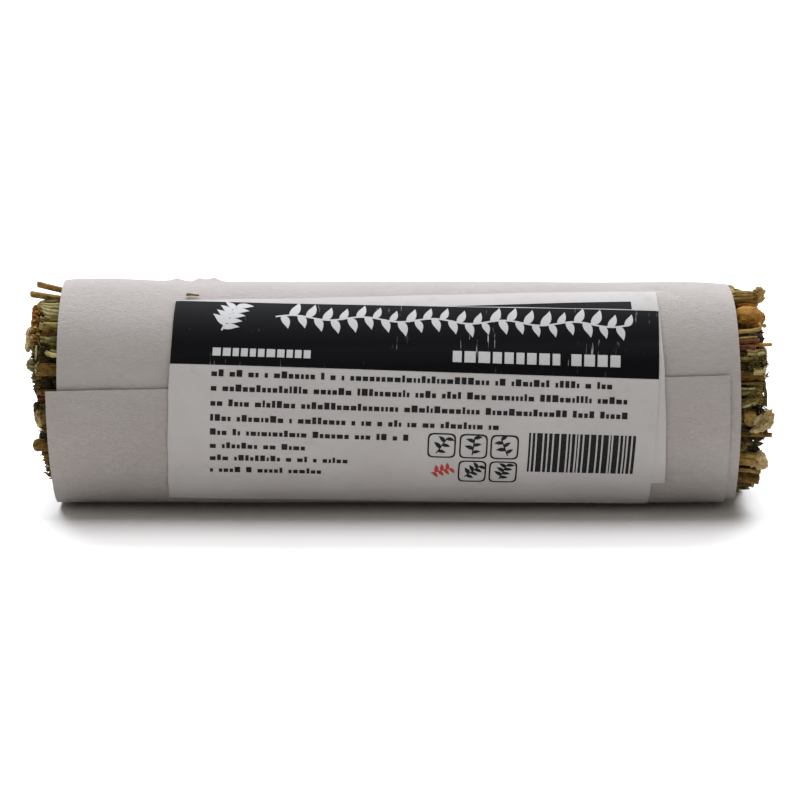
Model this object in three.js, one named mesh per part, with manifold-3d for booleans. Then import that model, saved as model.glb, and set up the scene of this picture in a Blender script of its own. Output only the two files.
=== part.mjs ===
// A sage smudge stick lying on its side: a tied bundle of dried herb sprigs, rolled in a sheet of
// paper that is held shut by two labels, one stuck askew over the other.
// Millimetres, +Z up. X runs along the stick, and the free edge of the paper faces -Y.
// An angle about the stick is 0 towards -Y and 90 degrees straight up.

import * as THREE from 'three';
import { mergeVertices } from 'three/addons/utils/BufferGeometryUtils.js';
import Module from 'manifold-3d';

const wasm = await Module();
wasm.setup();

const DEGREE = Math.PI / 180;
const FULL_TURN = 360;

// Paper wrap: one sheet rolled up a little more than once round.
const PAPER_RADIUS = 15.25;
const PAPER_THICKNESS = 0.25;
const PAPER_WIDTH = 90;
const PAPER_LEFT = -46.7;
const ROLL_PITCH = 0.35;
const ROLL_DRIFT = 1.43;
const STEPS_PER_TURN = 48;
const ROLL_STEPS = 64;
const EDGE_ANGLE = 16.6;
const EDGE_TILT = 0.09;
const EDGE_TILT_FADES = 60;
const BOTTOM_ANGLE = -90;
const AXIS_HEIGHT = 14.85;

// Labels: plain rectangles of sticky paper, each turned a little on the wrap.
const LABEL_THICKNESS = 0.12;
const LABEL_COLUMNS = 4;
const LABEL_ROWS = 14;
const EDGE_STEP_HOLDS = 9;
const EDGE_STEP_FADES = 10;
const UNDER_LABEL = { width: 64, height: 30.5, middle: 2.7, angle: 13, turn: -2, lift: 0.07 };
const TOP_LABEL = { width: 64.3, height: 31, middle: 1.6, angle: 3.3, turn: 1.9, lift: 0.25 };

// A crumb of leaf caught at the upper edge of the top label, narrower at one end.
const SCRAP = { middle: -27.8, angle: 70.3, length: 1.9, width: 0.7, thickness: 0.3, lift: 0.06 };
const SCRAP_TAPER = 0.6;

// Binding thread: cotton wound round the bundle under the paper.
const THREAD_RADIUS = 0.3;
const THREAD_COIL_RADIUS = 13.84;
const THREAD_REACH = 36;
const THREAD_TURNS = 4;
const THREAD_SIDES = 5;

// Bundle: the room that the thread and the paper leave for the herbs, as radius at x.
const TIED_RADIUS = 13.35;
const LOOSE_RADIUS = 14.25;
const TIED_REACH = 40.5;
const LOOSE_FROM = 43;
const BUNDLE_END = 52;
const FLOOR_CLEARANCE = 0.35;
const PIECE_GAP = 0.16;

// Blades: leaves folded on the midrib, and strips rolled into a trough. The shares are of the
// full width, and a shoulder share above 1 keeps the middle of the blade at that width.
const BLADE_THICKNESS = 0.6;
const BLADE_ROWS = 2;
const FOLDED_COLUMNS = 2;
const ROLLED_COLUMNS = 3;
const CUT_SHARE = 0.9;
const POINT_SHARE = 0.3;
const SHOULDER_SHARE = 1.3;
const JAG_DEPTH = 0.9;
const WAVE_HEIGHT = 0.3;

// Leafy sprigs: settled among the front pieces by a seeded rule.
const SPRIG_COUNT = 17;
const SPRIG_RADIUS = 2.25;
const SPRIG_RADIUS_SPREAD = 0.5;
const SPRIG_STEM_RADIUS = 0.55;
const SPRIG_STEM_SPREAD = 0.3;
const SPRIG_STEM_WAVER = 0.5;
const SPRIG_REACH = 47.4;
const SPRIG_REACH_SPREAD = 1.8;
const LAYOUT_SEED = 2024;
const SETTLING_ROUNDS = 160;
const GOLDEN_ANGLE = 137.508;
const SPRIG_SEED = 100;
const LEAF_STARTS = [0, 0, 0, 1, 1, 1];
const LEAF_SPAN = 26;
const LEAF_SPAN_SPREAD = 0.4;
const LEAF_HALF_WIDTH = 2.1;
const LEAF_WIDTH_SPREAD = 0.6;
const LEAF_FOLD = -20;
const LEAF_FOLD_SPREAD = -35;
const LEAF_OFFSET = 0.45;
const LEAF_OFFSET_SPREAD = 0.25;
const LEAF_ROLL_SPREAD = 40;
const LEAF_START_SPREAD = 0.8;
const CORE_SHARE = 0.87;
const CORE_SHARE_SPREAD = 0.12;
const CORE_SETBACK = 2.4;
const CORE_SWELL = 0.3;
const CORE_SIDES = 12;
const CORE_UNEVEN = 1.4;

// Pieces that show at the front of each cut end: the angle about the stick, the piece's own radius
// in the bundle, how far its end stands from the middle and what it is.
const LEFT_PIECES = [
  { name: 'left_splayed_stem', angle: 84, radius: 0.5, reach: 48.9, form: 'stem', splay: 1.55 },
  { name: 'left_orange_stem', angle: 76.7, radius: 0.55, reach: 49.5, form: 'stem', splay: 1.3 },
  { name: 'left_folded_leaf', angle: 69, radius: 1.15, reach: 48.2, form: 'folded' },
  { name: 'left_olive_leaf', angle: 57.5, radius: 0.75, reach: 49.0, form: 'folded' },
  { name: 'left_rolled_leaf', angle: 49.6, radius: 0.65, reach: 47.7, form: 'strip' },
  { name: 'left_crumpled_leaf', angle: 41.5, radius: 0.85, reach: 47.9, form: 'folded' },
  { name: 'left_pale_stem', angle: 33.2, radius: 0.5, reach: 47.3, form: 'stem' },
  { name: 'left_brown_leaf', angle: 25, radius: 1.1, reach: 47.9, form: 'strip' },
  { name: 'left_broken_leaf', angle: 11.2, radius: 1.3, reach: 48.1, form: 'folded' },
  { name: 'left_pithy_stem', angle: -4.2, radius: 1.25, reach: 48.4, form: 'pith' },
  { name: 'left_stub_stem', angle: -18.6, radius: 0.95, reach: 48.4, form: 'stem' },
  { name: 'left_low_leaf', angle: -30, radius: 1.0, reach: 47.5, form: 'folded' },
  { name: 'left_bottom_leaf', angle: -46, radius: 1.4, reach: 47.0, form: 'folded' },
];
const RIGHT_PIECES = [
  { name: 'right_bark_strip', angle: 81, radius: 1.0, reach: 48.3, form: 'strip', splay: 1.5 },
  { name: 'right_golden_leaf', angle: 62.5, radius: 1.9, reach: 48.7, form: 'strip' },
  { name: 'right_curled_strip', angle: 45.5, radius: 0.6, reach: 48.5, form: 'strip' },
  { name: 'right_red_stem', angle: 39.4, radius: 0.55, reach: 47.3, form: 'stem' },
  { name: 'right_twig', angle: 34.7, radius: 0.35, reach: 49.0, form: 'stem' },
  { name: 'right_pale_leaf', angle: 29.8, radius: 0.85, reach: 48.9, form: 'folded' },
  { name: 'right_split_leaf', angle: 21.2, radius: 1.0, reach: 48.2, form: 'folded' },
  { name: 'right_long_leaf', angle: 9.4, radius: 1.2, reach: 47.8, form: 'folded' },
  { name: 'right_pithy_stem', angle: -4.2, radius: 1.25, reach: 49.0, form: 'pith' },
  { name: 'right_dark_twig', angle: -12.4, radius: 0.45, reach: 49.0, form: 'stem' },
  { name: 'right_short_leaf', angle: -19.5, radius: 0.8, reach: 47.3, form: 'folded' },
  { name: 'right_thick_stem', angle: -30.9, radius: 1.2, reach: 48.5, form: 'pith' },
  { name: 'right_cut_stem', angle: -42.9, radius: 1.0, reach: 47.6, form: 'stem' },
  { name: 'right_bottom_stem', angle: -57, radius: 1.05, reach: 47.8, form: 'stem' },
];
const FRONT_SPLAY = 0.8;
const FRONT_PIECE_ROOT = 1.5;
const FRONT_SEED = 900;
const FRONT_STEM_SHARE = 0.92;
const FRONT_BLADE_SHARE = 1.35;
const FOLDED_FOLD = 32;
const ROLLED_FOLD = 70;
const ROLLED_CREST = 0.45;
const PITH_STEM_SHARE = 0.8;
const PITH_SIZE = 1.15;
const PITH_LENGTH = 0.85;
const PITH_SETBACK = 0.95;
const PITH_OUTSET = 1.02;
const PITH_UNEVEN_LEAST = 0.8;
const PITH_UNEVEN_SPREAD = 0.45;

// A strip of bark on one left piece, bent down over the cut face and its neighbours' ends.
const BENT_STRIP = {
  on: 'left_olive_leaf', outer: 13.8, inner: 12.5, fromAngle: 63, toAngle: 31, left: -49.3, right: -48.4,
};
const BENT_SWAY = 0.25;
const BENT_STEPS = 4;

const STEM_SIDES = 6;
const STEM_STEPS = 4;
const STEM_WAVER = 0.1;

const finishes = {
  paper: new THREE.MeshStandardMaterial({ color: 0xb9b3b0, roughness: 0.85 }),
  label: new THREE.MeshStandardMaterial({ color: 0xc9c6c4, roughness: 0.55 }),
  thread: new THREE.MeshStandardMaterial({ color: 0xd9cfb8, roughness: 0.95 }),
  leaf: new THREE.MeshStandardMaterial({ color: 0x6f6a3c, roughness: 0.9 }),
  goldenLeaf: new THREE.MeshStandardMaterial({ color: 0x9a6a24, roughness: 0.85 }),
  stem: new THREE.MeshStandardMaterial({ color: 0x6a4a22, roughness: 0.85 }),
  pith: new THREE.MeshStandardMaterial({ color: 0xb7a06c, roughness: 0.95 }),
};

// Repeatable draws between 0 and 1: each state is the last one times a factor, within a prime.
const DRAW_FACTOR = 16807;
const DRAW_PRIME = 2147483647;

function makeRandom(seed) {
  let state = seed;
  return () => {
    state = (state * DRAW_FACTOR) % DRAW_PRIME;
    return state / DRAW_PRIME;
  };
}

// The point at x, at a radius and an angle about the stick's axis.
function around(x, radius, angle) {
  return new THREE.Vector3(
    x,
    -radius * Math.cos(angle * DEGREE),
    AXIS_HEIGHT + radius * Math.sin(angle * DEGREE),
  );
}

// A closed slab between two surfaces over the same grid, each split into triangles alike.
function slab(columns, rows, place) {
  const positions = [];
  for (const side of [0, 1]) {
    for (let row = 0; row <= rows; row += 1) {
      for (let column = 0; column <= columns; column += 1) {
        positions.push(...place(column / columns, row / rows, side).toArray());
      }
    }
  }
  const perSide = (columns + 1) * (rows + 1);
  const at = (column, row) => row * (columns + 1) + column;
  const indices = [];
  for (let row = 0; row < rows; row += 1) {
    for (let column = 0; column < columns; column += 1) {
      const [a, b] = [at(column, row), at(column + 1, row)];
      const [c, d] = [at(column + 1, row + 1), at(column, row + 1)];
      indices.push(a, b, c, a, c, d);
      indices.push(c + perSide, b + perSide, a + perSide, d + perSide, c + perSide, a + perSide);
    }
  }
  const rim = [];
  for (let column = 0; column < columns; column += 1) rim.push([at(column, 0), at(column + 1, 0)]);
  for (let row = 0; row < rows; row += 1) rim.push([at(columns, row), at(columns, row + 1)]);
  for (let column = columns; column > 0; column -= 1) rim.push([at(column, rows), at(column - 1, rows)]);
  for (let row = rows; row > 0; row -= 1) rim.push([at(0, row), at(0, row - 1)]);
  for (const [a, b] of rim) indices.push(b, a, a + perSide, b, a + perSide, b + perSide);
  return facingOut(positions, indices);
}

// A geometry whose faces point out: one with a negative volume is turned round.
function facingOut(positions, indices) {
  const corner = (index) => new THREE.Vector3().fromArray(positions, 3 * index);
  let volume = 0;
  for (let i = 0; i < indices.length; i += 3) {
    const [a, b, c] = [corner(indices[i]), corner(indices[i + 1]), corner(indices[i + 2])];
    volume += a.dot(b.cross(c));
  }
  const geometry = new THREE.BufferGeometry();
  geometry.setAttribute('position', new THREE.Float32BufferAttribute(positions, 3));
  geometry.setIndex(volume < 0 ? indices.slice().reverse() : indices);
  return geometry;
}

// A closed solid through outlines with equal numbers of points, the first and the last filled in.
function loft(sections) {
  const count = sections[0].length;
  const positions = sections.flat().flatMap((point) => point.toArray());
  const indices = [];
  for (let i = 0; i + 1 < sections.length; i += 1) {
    for (let j = 0; j < count; j += 1) {
      const [a, b] = [i * count + j, i * count + (j + 1) % count];
      indices.push(a, b, b + count, a, b + count, a + count);
    }
  }
  const last = (sections.length - 1) * count;
  for (let j = 1; j + 1 < count; j += 1) {
    indices.push(0, j + 1, j, last, last + j, last + j + 1);
  }
  return facingOut(positions, indices);
}

function solidOf(geometry) {
  const bare = geometry.clone();
  bare.deleteAttribute('normal');
  bare.deleteAttribute('uv');
  const merged = mergeVertices(bare);
  return new wasm.Manifold(new wasm.Mesh({
    numProp: 3,
    vertProperties: Float32Array.from(merged.attributes.position.array),
    triVerts: Uint32Array.from(merged.index.array),
  }));
}

function geometryOf(solid) {
  const mesh = solid.getMesh();
  const geometry = new THREE.BufferGeometry();
  geometry.setAttribute('position', new THREE.BufferAttribute(mesh.vertProperties, 3));
  geometry.setIndex(new THREE.BufferAttribute(mesh.triVerts, 1));
  return geometry;
}

// Distance of the roll's surface from the axis, after a turn of so many degrees from the free edge.
// It is flat where the stick rests.
function rollRadius(turned, angle, depth) {
  const round = PAPER_RADIUS - ROLL_PITCH * turned / FULL_TURN - depth;
  const fromBottom = Math.cos((angle - BOTTOM_ANGLE) * DEGREE);
  const layer = turned > FULL_TURN ? 1 : 0;
  const flat = (AXIS_HEIGHT - ROLL_PITCH * layer - depth) / fromBottom;
  return fromBottom > 0 ? Math.min(round, flat) : round;
}

function paperPoint(across, along, side) {
  const turned = along * ROLL_STEPS * FULL_TURN / STEPS_PER_TURN;
  const x = PAPER_LEFT + across * PAPER_WIDTH + ROLL_DRIFT * turned / FULL_TURN;
  const tilt = EDGE_TILT * x * Math.max(0, 1 - turned / EDGE_TILT_FADES);
  const angle = EDGE_ANGLE + tilt - turned;
  return around(x, rollRadius(turned, angle, side * PAPER_THICKNESS), angle);
}

// Outer radius of the wrapped paper at an angle, with the step at the free edge eased,
// as a label bridges it.
function wrapRadius(x, angle) {
  const pastEdge = angle - EDGE_ANGLE - EDGE_TILT * x;
  const turned = pastEdge > 0 ? FULL_TURN - pastEdge : -pastEdge;
  const eased = THREE.MathUtils.clamp(1 - (pastEdge - EDGE_STEP_HOLDS) / EDGE_STEP_FADES, 0, 1);
  const lifted = pastEdge > 0 ? ROLL_PITCH * eased : 0;
  return rollRadius(turned > FULL_TURN ? FULL_TURN : turned, angle, 0) + lifted;
}

function labelGeometry({ width, height, middle, angle, turn, lift }) {
  return slab(LABEL_COLUMNS, LABEL_ROWS, (across, up, side) => {
    const a = (across - 0.5) * width;
    const b = (up - 0.5) * height;
    const x = middle + a * Math.cos(turn * DEGREE) + b * Math.sin(turn * DEGREE);
    const arc = b * Math.cos(turn * DEGREE) - a * Math.sin(turn * DEGREE);
    const there = angle + arc / PAPER_RADIUS / DEGREE;
    return around(x, wrapRadius(x, there) + lift + side * LABEL_THICKNESS, there);
  });
}

function scrapGeometry({ middle, angle, length, width, thickness, lift }) {
  return slab(2, 1, (across, up, side) => {
    const taper = 1 - SCRAP_TAPER * across;
    const there = angle + (up - 0.5) * taper * width / PAPER_RADIUS / DEGREE;
    const x = middle + (across - 0.5) * length;
    return around(x, wrapRadius(x, there) + lift + side * thickness, there);
  });
}

class Coil extends THREE.Curve {
  getPoint(t, target = new THREE.Vector3()) {
    const x = THREE.MathUtils.lerp(-THREAD_REACH, THREAD_REACH, t);
    return target.copy(around(x, THREAD_COIL_RADIUS, t * THREAD_TURNS * FULL_TURN));
  }
}

function ringShape(radius, sides) {
  const points = [];
  for (let i = 0; i < sides; i += 1) {
    const angle = i * FULL_TURN / sides * DEGREE;
    points.push(new THREE.Vector2(radius * Math.cos(angle), radius * Math.sin(angle)));
  }
  return new THREE.Shape(points);
}

function threadGeometry() {
  const steps = THREAD_TURNS * STEPS_PER_TURN / 2;
  return new THREE.ExtrudeGeometry(ringShape(THREAD_RADIUS, THREAD_SIDES), {
    steps, bevelEnabled: false, extrudePath: new Coil(),
  });
}

// The room for the herbs: a round body, narrower where the thread holds it.
function bundleRoom() {
  const half = [
    [TIED_RADIUS, TIED_REACH], [LOOSE_RADIUS, LOOSE_FROM], [LOOSE_RADIUS, BUNDLE_END], [0, BUNDLE_END],
  ];
  const mirrored = half.map(([radius, x]) => [radius, -x]).reverse();
  const points = [...mirrored, ...half].map(([radius, x]) => new THREE.Vector2(radius, x));
  const geometry = new THREE.LatheGeometry(points, STEPS_PER_TURN / 2);
  geometry.rotateZ(-Math.PI / 2);
  geometry.translate(0, 0, AXIS_HEIGHT);
  return solidOf(geometry);
}

// Where a front piece lies in the bundle's cross-section, and the stretch of x that it takes up.
function placeFrontPiece(piece, side) {
  const distance = TIED_RADIUS - piece.radius;
  const from = side < 0 ? -piece.reach : FRONT_PIECE_ROOT;
  const to = side < 0 ? -FRONT_PIECE_ROOT : piece.reach;
  return {
    splay: FRONT_SPLAY, ...piece, side, from, to, fixed: true,
    y: -distance * Math.cos(piece.angle * DEGREE),
    z: distance * Math.sin(piece.angle * DEGREE),
  };
}

function scatterSprigs() {
  const random = makeRandom(LAYOUT_SEED);
  const sprigs = [];
  for (let i = 0; i < SPRIG_COUNT; i += 1) {
    const distance = TIED_RADIUS * Math.sqrt((i + 0.5) / SPRIG_COUNT);
    const angle = i * GOLDEN_ANGLE * DEGREE;
    const reach = SPRIG_REACH + SPRIG_REACH_SPREAD * random();
    sprigs.push({
      name: `sprig_${String(i + 1).padStart(2, '0')}`,
      form: 'sprig',
      seed: SPRIG_SEED + i,
      radius: SPRIG_RADIUS + SPRIG_RADIUS_SPREAD * random(),
      from: SPRIG_REACH_SPREAD * random() - reach,
      to: reach,
      y: distance * Math.cos(angle),
      z: distance * Math.sin(angle),
    });
  }
  return sprigs;
}

// Pushes crowded sprigs apart and back inside the tied radius, until each has its own room.
function settle(sprigs, pieces) {
  for (let round = 0; round < SETTLING_ROUNDS; round += 1) {
    for (const sprig of sprigs) {
      for (const other of pieces) {
        const dy = sprig.y - other.y;
        const dz = sprig.z - other.z;
        const distance = Math.sqrt(dy * dy + dz * dz);
        const crowded = sprig.radius + other.radius - distance;
        if (other !== sprig && crowded > 0) {
          const share = (other.fixed ? 1 : 0.5) * crowded / distance;
          sprig.y += dy * share;
          sprig.z += dz * share;
        }
      }
      const out = Math.sqrt(sprig.y * sprig.y + sprig.z * sprig.z);
      const most = TIED_RADIUS - sprig.radius;
      if (out > most) {
        sprig.y *= most / out;
        sprig.z *= most / out;
      }
    }
  }
}

// Keeps the part of a convex outline where normal . point is at most limit.
function clipped(outline, ny, nz, limit) {
  const kept = [];
  outline.forEach((point, i) => {
    const next = outline[(i + 1) % outline.length];
    const here = point[0] * ny + point[1] * nz - limit;
    const there = next[0] * ny + next[1] * nz - limit;
    if (here <= 0) kept.push(point);
    if (here * there < 0) {
      const share = here / (here - there);
      kept.push([point[0] + share * (next[0] - point[0]), point[1] + share * (next[1] - point[1])]);
    }
  });
  return kept;
}

// The outline of the room that a piece has to itself: closer to it than to any neighbour.
function roomOutline(piece, pieces) {
  const far = BUNDLE_END;
  let outline = [[-far, -far], [far, -far], [far, far], [-far, far]];
  outline = clipped(outline, 0, -1, AXIS_HEIGHT - FLOOR_CLEARANCE);
  for (const other of pieces) {
    const apart = piece.to < other.from || other.to < piece.from;
    if (other === piece || apart) continue;
    const dy = other.y - piece.y;
    const dz = other.z - piece.z;
    const distance = Math.sqrt(dy * dy + dz * dz);
    const border = (distance * distance + piece.radius * piece.radius - other.radius * other.radius)
      / (2 * distance) - PIECE_GAP / 2;
    const ny = dy / distance;
    const nz = dz / distance;
    outline = clipped(outline, ny, nz, piece.y * ny + piece.z * nz + border);
  }
  return outline;
}

function roomSolid(outline) {
  const shape = new THREE.Shape(outline.map(([y, z]) => new THREE.Vector2(y, z)));
  const geometry = new THREE.ExtrudeGeometry(shape, { depth: 2 * BUNDLE_END, bevelEnabled: false });
  geometry.applyMatrix4(new THREE.Matrix4().makeBasis(
    new THREE.Vector3(0, 1, 0), new THREE.Vector3(0, 0, 1), new THREE.Vector3(1, 0, 0),
  ));
  geometry.translate(-BUNDLE_END, 0, AXIS_HEIGHT);
  return solidOf(geometry);
}

// How far out of the tie x is: 0 where the thread holds the bundle, about 1 at the cut ends.
function looseness(x) {
  return Math.max(0, (Math.abs(x) - TIED_REACH) / (SPRIG_REACH - TIED_REACH));
}

// A woody stem along x with a slight waver, splayed out from the axis at its outer end.
function stemSolid({ y, z, radius, from, to, side = 0, splay = 0, waver = STEM_WAVER }, random) {
  const out = Math.sqrt(y * y + z * z) || 1;
  const points = [];
  for (let i = 0; i <= STEM_STEPS; i += 1) {
    const t = i / STEM_STEPS;
    const x = THREE.MathUtils.lerp(from, to, t);
    const push = x * side > 0 ? 1 + splay * looseness(x) / out : 1;
    const [dy, dz] = [waver * (random() - 0.5), waver * (random() - 0.5)];
    points.push(new THREE.Vector3(x, y * push + dy, AXIS_HEIGHT + z * push + dz));
  }
  return solidOf(new THREE.ExtrudeGeometry(ringShape(radius, STEM_SIDES), {
    steps: STEM_STEPS, bevelEnabled: false, extrudePath: new THREE.CatmullRomCurve3(points),
  }));
}

// A point of a blade's cross-section, at s from -1 to 1 across it: how far sideways and outwards.
function foldedSection(s, half, curl, thick) {
  return [half * s * Math.cos(curl), thick / Math.cos(curl) - half * Math.abs(s) * Math.sin(curl)];
}

function rolledSection(s, half, curl, thick) {
  const radius = half / curl;
  return [(radius + thick) * Math.sin(curl * s), (radius + thick) * Math.cos(curl * s) - radius];
}

// A leaf pressed along the stem and folded on its midrib, or rolled into a trough if rolled is set.
// It faces the direction roll, and each end is either cut and ragged or drawn in to a point.
function bladeSolid(leaf, random) {
  const { y, z, roll, from, to, halfWidth, fold, cutFrom, cutTo, rolled = false, splay = 0 } = leaf;
  const columns = rolled ? ROLLED_COLUMNS : FOLDED_COLUMNS;
  const section = rolled ? rolledSection : foldedSection;
  const face = [Math.cos(roll * DEGREE), Math.sin(roll * DEGREE)];
  const jags = Array.from({ length: columns + 1 }, () => [random() - 0.5, random() - 0.5]);
  const waves = Array.from({ length: BLADE_ROWS + 1 }, () => WAVE_HEIGHT * (random() - 0.5));
  const fromShare = cutFrom ? CUT_SHARE : POINT_SHARE;
  const toShare = cutTo ? CUT_SHARE : POINT_SHARE;
  return solidOf(slab(columns, BLADE_ROWS, (u, v, side) => {
    const row = Math.round(v * BLADE_ROWS);
    const share = Math.min(
      THREE.MathUtils.lerp(fromShare, SHOULDER_SHARE, v),
      THREE.MathUtils.lerp(SHOULDER_SHARE, toShare, v),
      1,
    );
    const endJags = jags[Math.round(u * columns)];
    const jag = v === 0 ? endJags[0] : v === 1 ? endJags[1] : 0;
    const x = THREE.MathUtils.lerp(from, to, v) + JAG_DEPTH * jag;
    const thick = (side - 0.5) * BLADE_THICKNESS;
    const [sideways, lift] = section(2 * u - 1, halfWidth * share, fold * DEGREE, thick);
    const outwards = lift + waves[row] + splay * looseness(x);
    return new THREE.Vector3(
      x,
      y - face[1] * sideways + face[0] * outwards,
      AXIS_HEIGHT + z + face[0] * sideways + face[1] * outwards,
    );
  }));
}

// An uneven lump of pith where a stem was broken through.
function pithSolid({ y, z, radius, reach, side }, random) {
  const ball = new THREE.IcosahedronGeometry(1, 1);
  const geometry = mergeVertices(ball.deleteAttribute('normal').deleteAttribute('uv'));
  const position = geometry.attributes.position;
  for (let i = 0; i < position.count; i += 1) {
    const uneven = PITH_UNEVEN_LEAST + PITH_UNEVEN_SPREAD * random();
    position.setXYZ(
      i,
      side * (reach - PITH_SETBACK) + PITH_LENGTH * uneven * position.getX(i),
      y * PITH_OUTSET + radius * PITH_SIZE * uneven * position.getY(i),
      AXIS_HEIGHT + z * PITH_OUTSET + radius * PITH_SIZE * uneven * position.getZ(i),
    );
  }
  return solidOf(geometry);
}

// A stem that ends in a lump of pith at its outer end.
function pithyStemSolid(piece, random) {
  const end = piece.reach - PITH_SETBACK;
  const shorter = { from: Math.max(piece.from, -end), to: Math.min(piece.to, end) };
  const stem = stemSolid({ ...piece, ...shorter, radius: PITH_STEM_SHARE * piece.radius }, random);
  return stem.add(pithSolid(piece, random));
}

function frontPieceSolid(piece, random) {
  if (piece.form === 'stem') return stemSolid({ ...piece, radius: FRONT_STEM_SHARE * piece.radius }, random);
  if (piece.form === 'pith') return pithyStemSolid(piece, random);
  const rolled = piece.form === 'strip';
  const out = Math.sqrt(piece.y * piece.y + piece.z * piece.z);
  const outset = rolled ? 1 + ROLLED_CREST * piece.radius / out : 1;
  return bladeSolid({
    ...piece,
    rolled,
    y: piece.y * outset,
    z: piece.z * outset,
    roll: Math.atan2(piece.z, piece.y) / DEGREE,
    halfWidth: FRONT_BLADE_SHARE * piece.radius,
    fold: rolled ? ROLLED_FOLD : FOLDED_FOLD,
    cutFrom: piece.side < 0,
    cutTo: piece.side > 0,
  }, random);
}

// The crushed leaf packed round a stem: a smaller copy of the sprig's room, set back from the ends.
function coreSolid(sprig, outline, random) {
  let packed = outline;
  for (let i = 0; i < CORE_SIDES; i += 1) {
    const angle = i * FULL_TURN / CORE_SIDES * DEGREE;
    packed = clipped(packed, Math.cos(angle), Math.sin(angle), TIED_RADIUS + CORE_SWELL);
  }
  const stations = [sprig.from + CORE_SETBACK, (sprig.from + sprig.to) / 2, sprig.to - CORE_SETBACK];
  return solidOf(loft(stations.map((x) => packed.map(([y, z]) => {
    const share = CORE_SHARE + CORE_SHARE_SPREAD * random();
    return new THREE.Vector3(
      x + CORE_UNEVEN * (random() - 0.5),
      sprig.y + share * (y - sprig.y),
      AXIS_HEIGHT + sprig.z + share * (z - sprig.z),
    );
  }))));
}

// A leafy stem from end to end, with its leaves pressed along it on all sides.
function sprigSolid(sprig, outline) {
  const random = makeRandom(sprig.seed);
  const radius = SPRIG_STEM_RADIUS + SPRIG_STEM_SPREAD * random();
  const stem = stemSolid({ ...sprig, radius, waver: SPRIG_STEM_WAVER }, random);
  const core = coreSolid(sprig, outline, random);
  const leaves = LEAF_STARTS.map((start, i) => {
    const span = LEAF_SPAN * (1 + LEAF_SPAN_SPREAD * (random() - 0.5));
    const from = THREE.MathUtils.lerp(sprig.from, sprig.to - span, start) + LEAF_START_SPREAD * random();
    const roll = i * GOLDEN_ANGLE + LEAF_ROLL_SPREAD * random();
    const away = LEAF_OFFSET + LEAF_OFFSET_SPREAD * random();
    return bladeSolid({
      y: sprig.y + away * Math.cos(roll * DEGREE),
      z: sprig.z + away * Math.sin(roll * DEGREE),
      roll,
      from,
      to: from + span,
      halfWidth: LEAF_HALF_WIDTH + LEAF_WIDTH_SPREAD * random(),
      fold: LEAF_FOLD + LEAF_FOLD_SPREAD * random(),
      cutFrom: start === 0,
      cutTo: start === 1,
    }, random);
  });
  return [stem, core, ...leaves].reduce((whole, solid) => whole.add(solid));
}

function bentStripGeometry({ outer, inner, fromAngle, toAngle, left, right }) {
  return slab(1, BENT_STEPS, (across, along, side) => {
    const sway = BENT_SWAY * Math.sin((BENT_STEPS + 1) * along);
    const radius = THREE.MathUtils.lerp(inner, outer, across) - sway;
    return around(side ? left : right, radius, THREE.MathUtils.lerp(fromAngle, toAngle, along));
  });
}

const formFinishes = {
  stem: finishes.stem,
  strip: finishes.goldenLeaf,
  folded: finishes.leaf,
  pith: finishes.pith,
  sprig: finishes.leaf,
};

function namedMesh(name, geometry, material) {
  const mesh = new THREE.Mesh(geometry, material);
  mesh.name = name;
  return mesh;
}

// The largest body of a cut solid: crumbs that the cut leaves loose are dropped.
function largestBody(solid) {
  return solid.decompose().reduce((best, body) => (body.volume() > best.volume() ? body : best));
}

function herbs() {
  const fronts = [
    ...LEFT_PIECES.map((piece) => placeFrontPiece(piece, -1)),
    ...RIGHT_PIECES.map((piece) => placeFrontPiece(piece, 1)),
  ];
  const sprigs = scatterSprigs();
  const pieces = [...fronts, ...sprigs];
  settle(sprigs, pieces);
  const bundle = bundleRoom();
  return pieces.map((piece, i) => {
    const outline = roomOutline(piece, pieces);
    const whole = piece.form === 'sprig'
      ? sprigSolid(piece, outline)
      : frontPieceSolid(piece, makeRandom(FRONT_SEED + i));
    let fitted = whole.intersect(roomSolid(outline));
    if (!(piece.splay > FRONT_SPLAY)) fitted = fitted.intersect(bundle);
    if (piece.name === BENT_STRIP.on) fitted = fitted.add(solidOf(bentStripGeometry(BENT_STRIP)));
    return namedMesh(piece.name, geometryOf(largestBody(fitted)), formFinishes[piece.form]);
  });
}

const stick = new THREE.Group();
stick.add(
  namedMesh('paper_wrap', slab(2, ROLL_STEPS, paperPoint), finishes.paper),
  namedMesh('under_label', labelGeometry(UNDER_LABEL), finishes.label),
  namedMesh('top_label', labelGeometry(TOP_LABEL), finishes.label),
  namedMesh('leaf_scrap', scrapGeometry(SCRAP), finishes.leaf),
  namedMesh('binding_thread', threadGeometry(), finishes.thread),
  ...herbs(),
);

// The origin is on the surface that the stick rests on, under the middle of its box.
const box = new THREE.Box3().setFromObject(stick);
stick.position.set(-(box.min.x + box.max.x) / 2, -(box.min.y + box.max.y) / 2, -box.min.z);

export default stick;
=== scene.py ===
# %% [markdown]
# # A sage smudge stick
# Dried herb sprigs are tied in a bundle and rolled in a sheet of grey paper, and two labels hold the
# roll shut. This notebook dresses the measured model of the stick: its solids say where every piece
# lies and how far it reaches, and each cell makes one kind of piece finer without moving it.

# %% Load the measured model
import math
from functools import partialmethod

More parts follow.
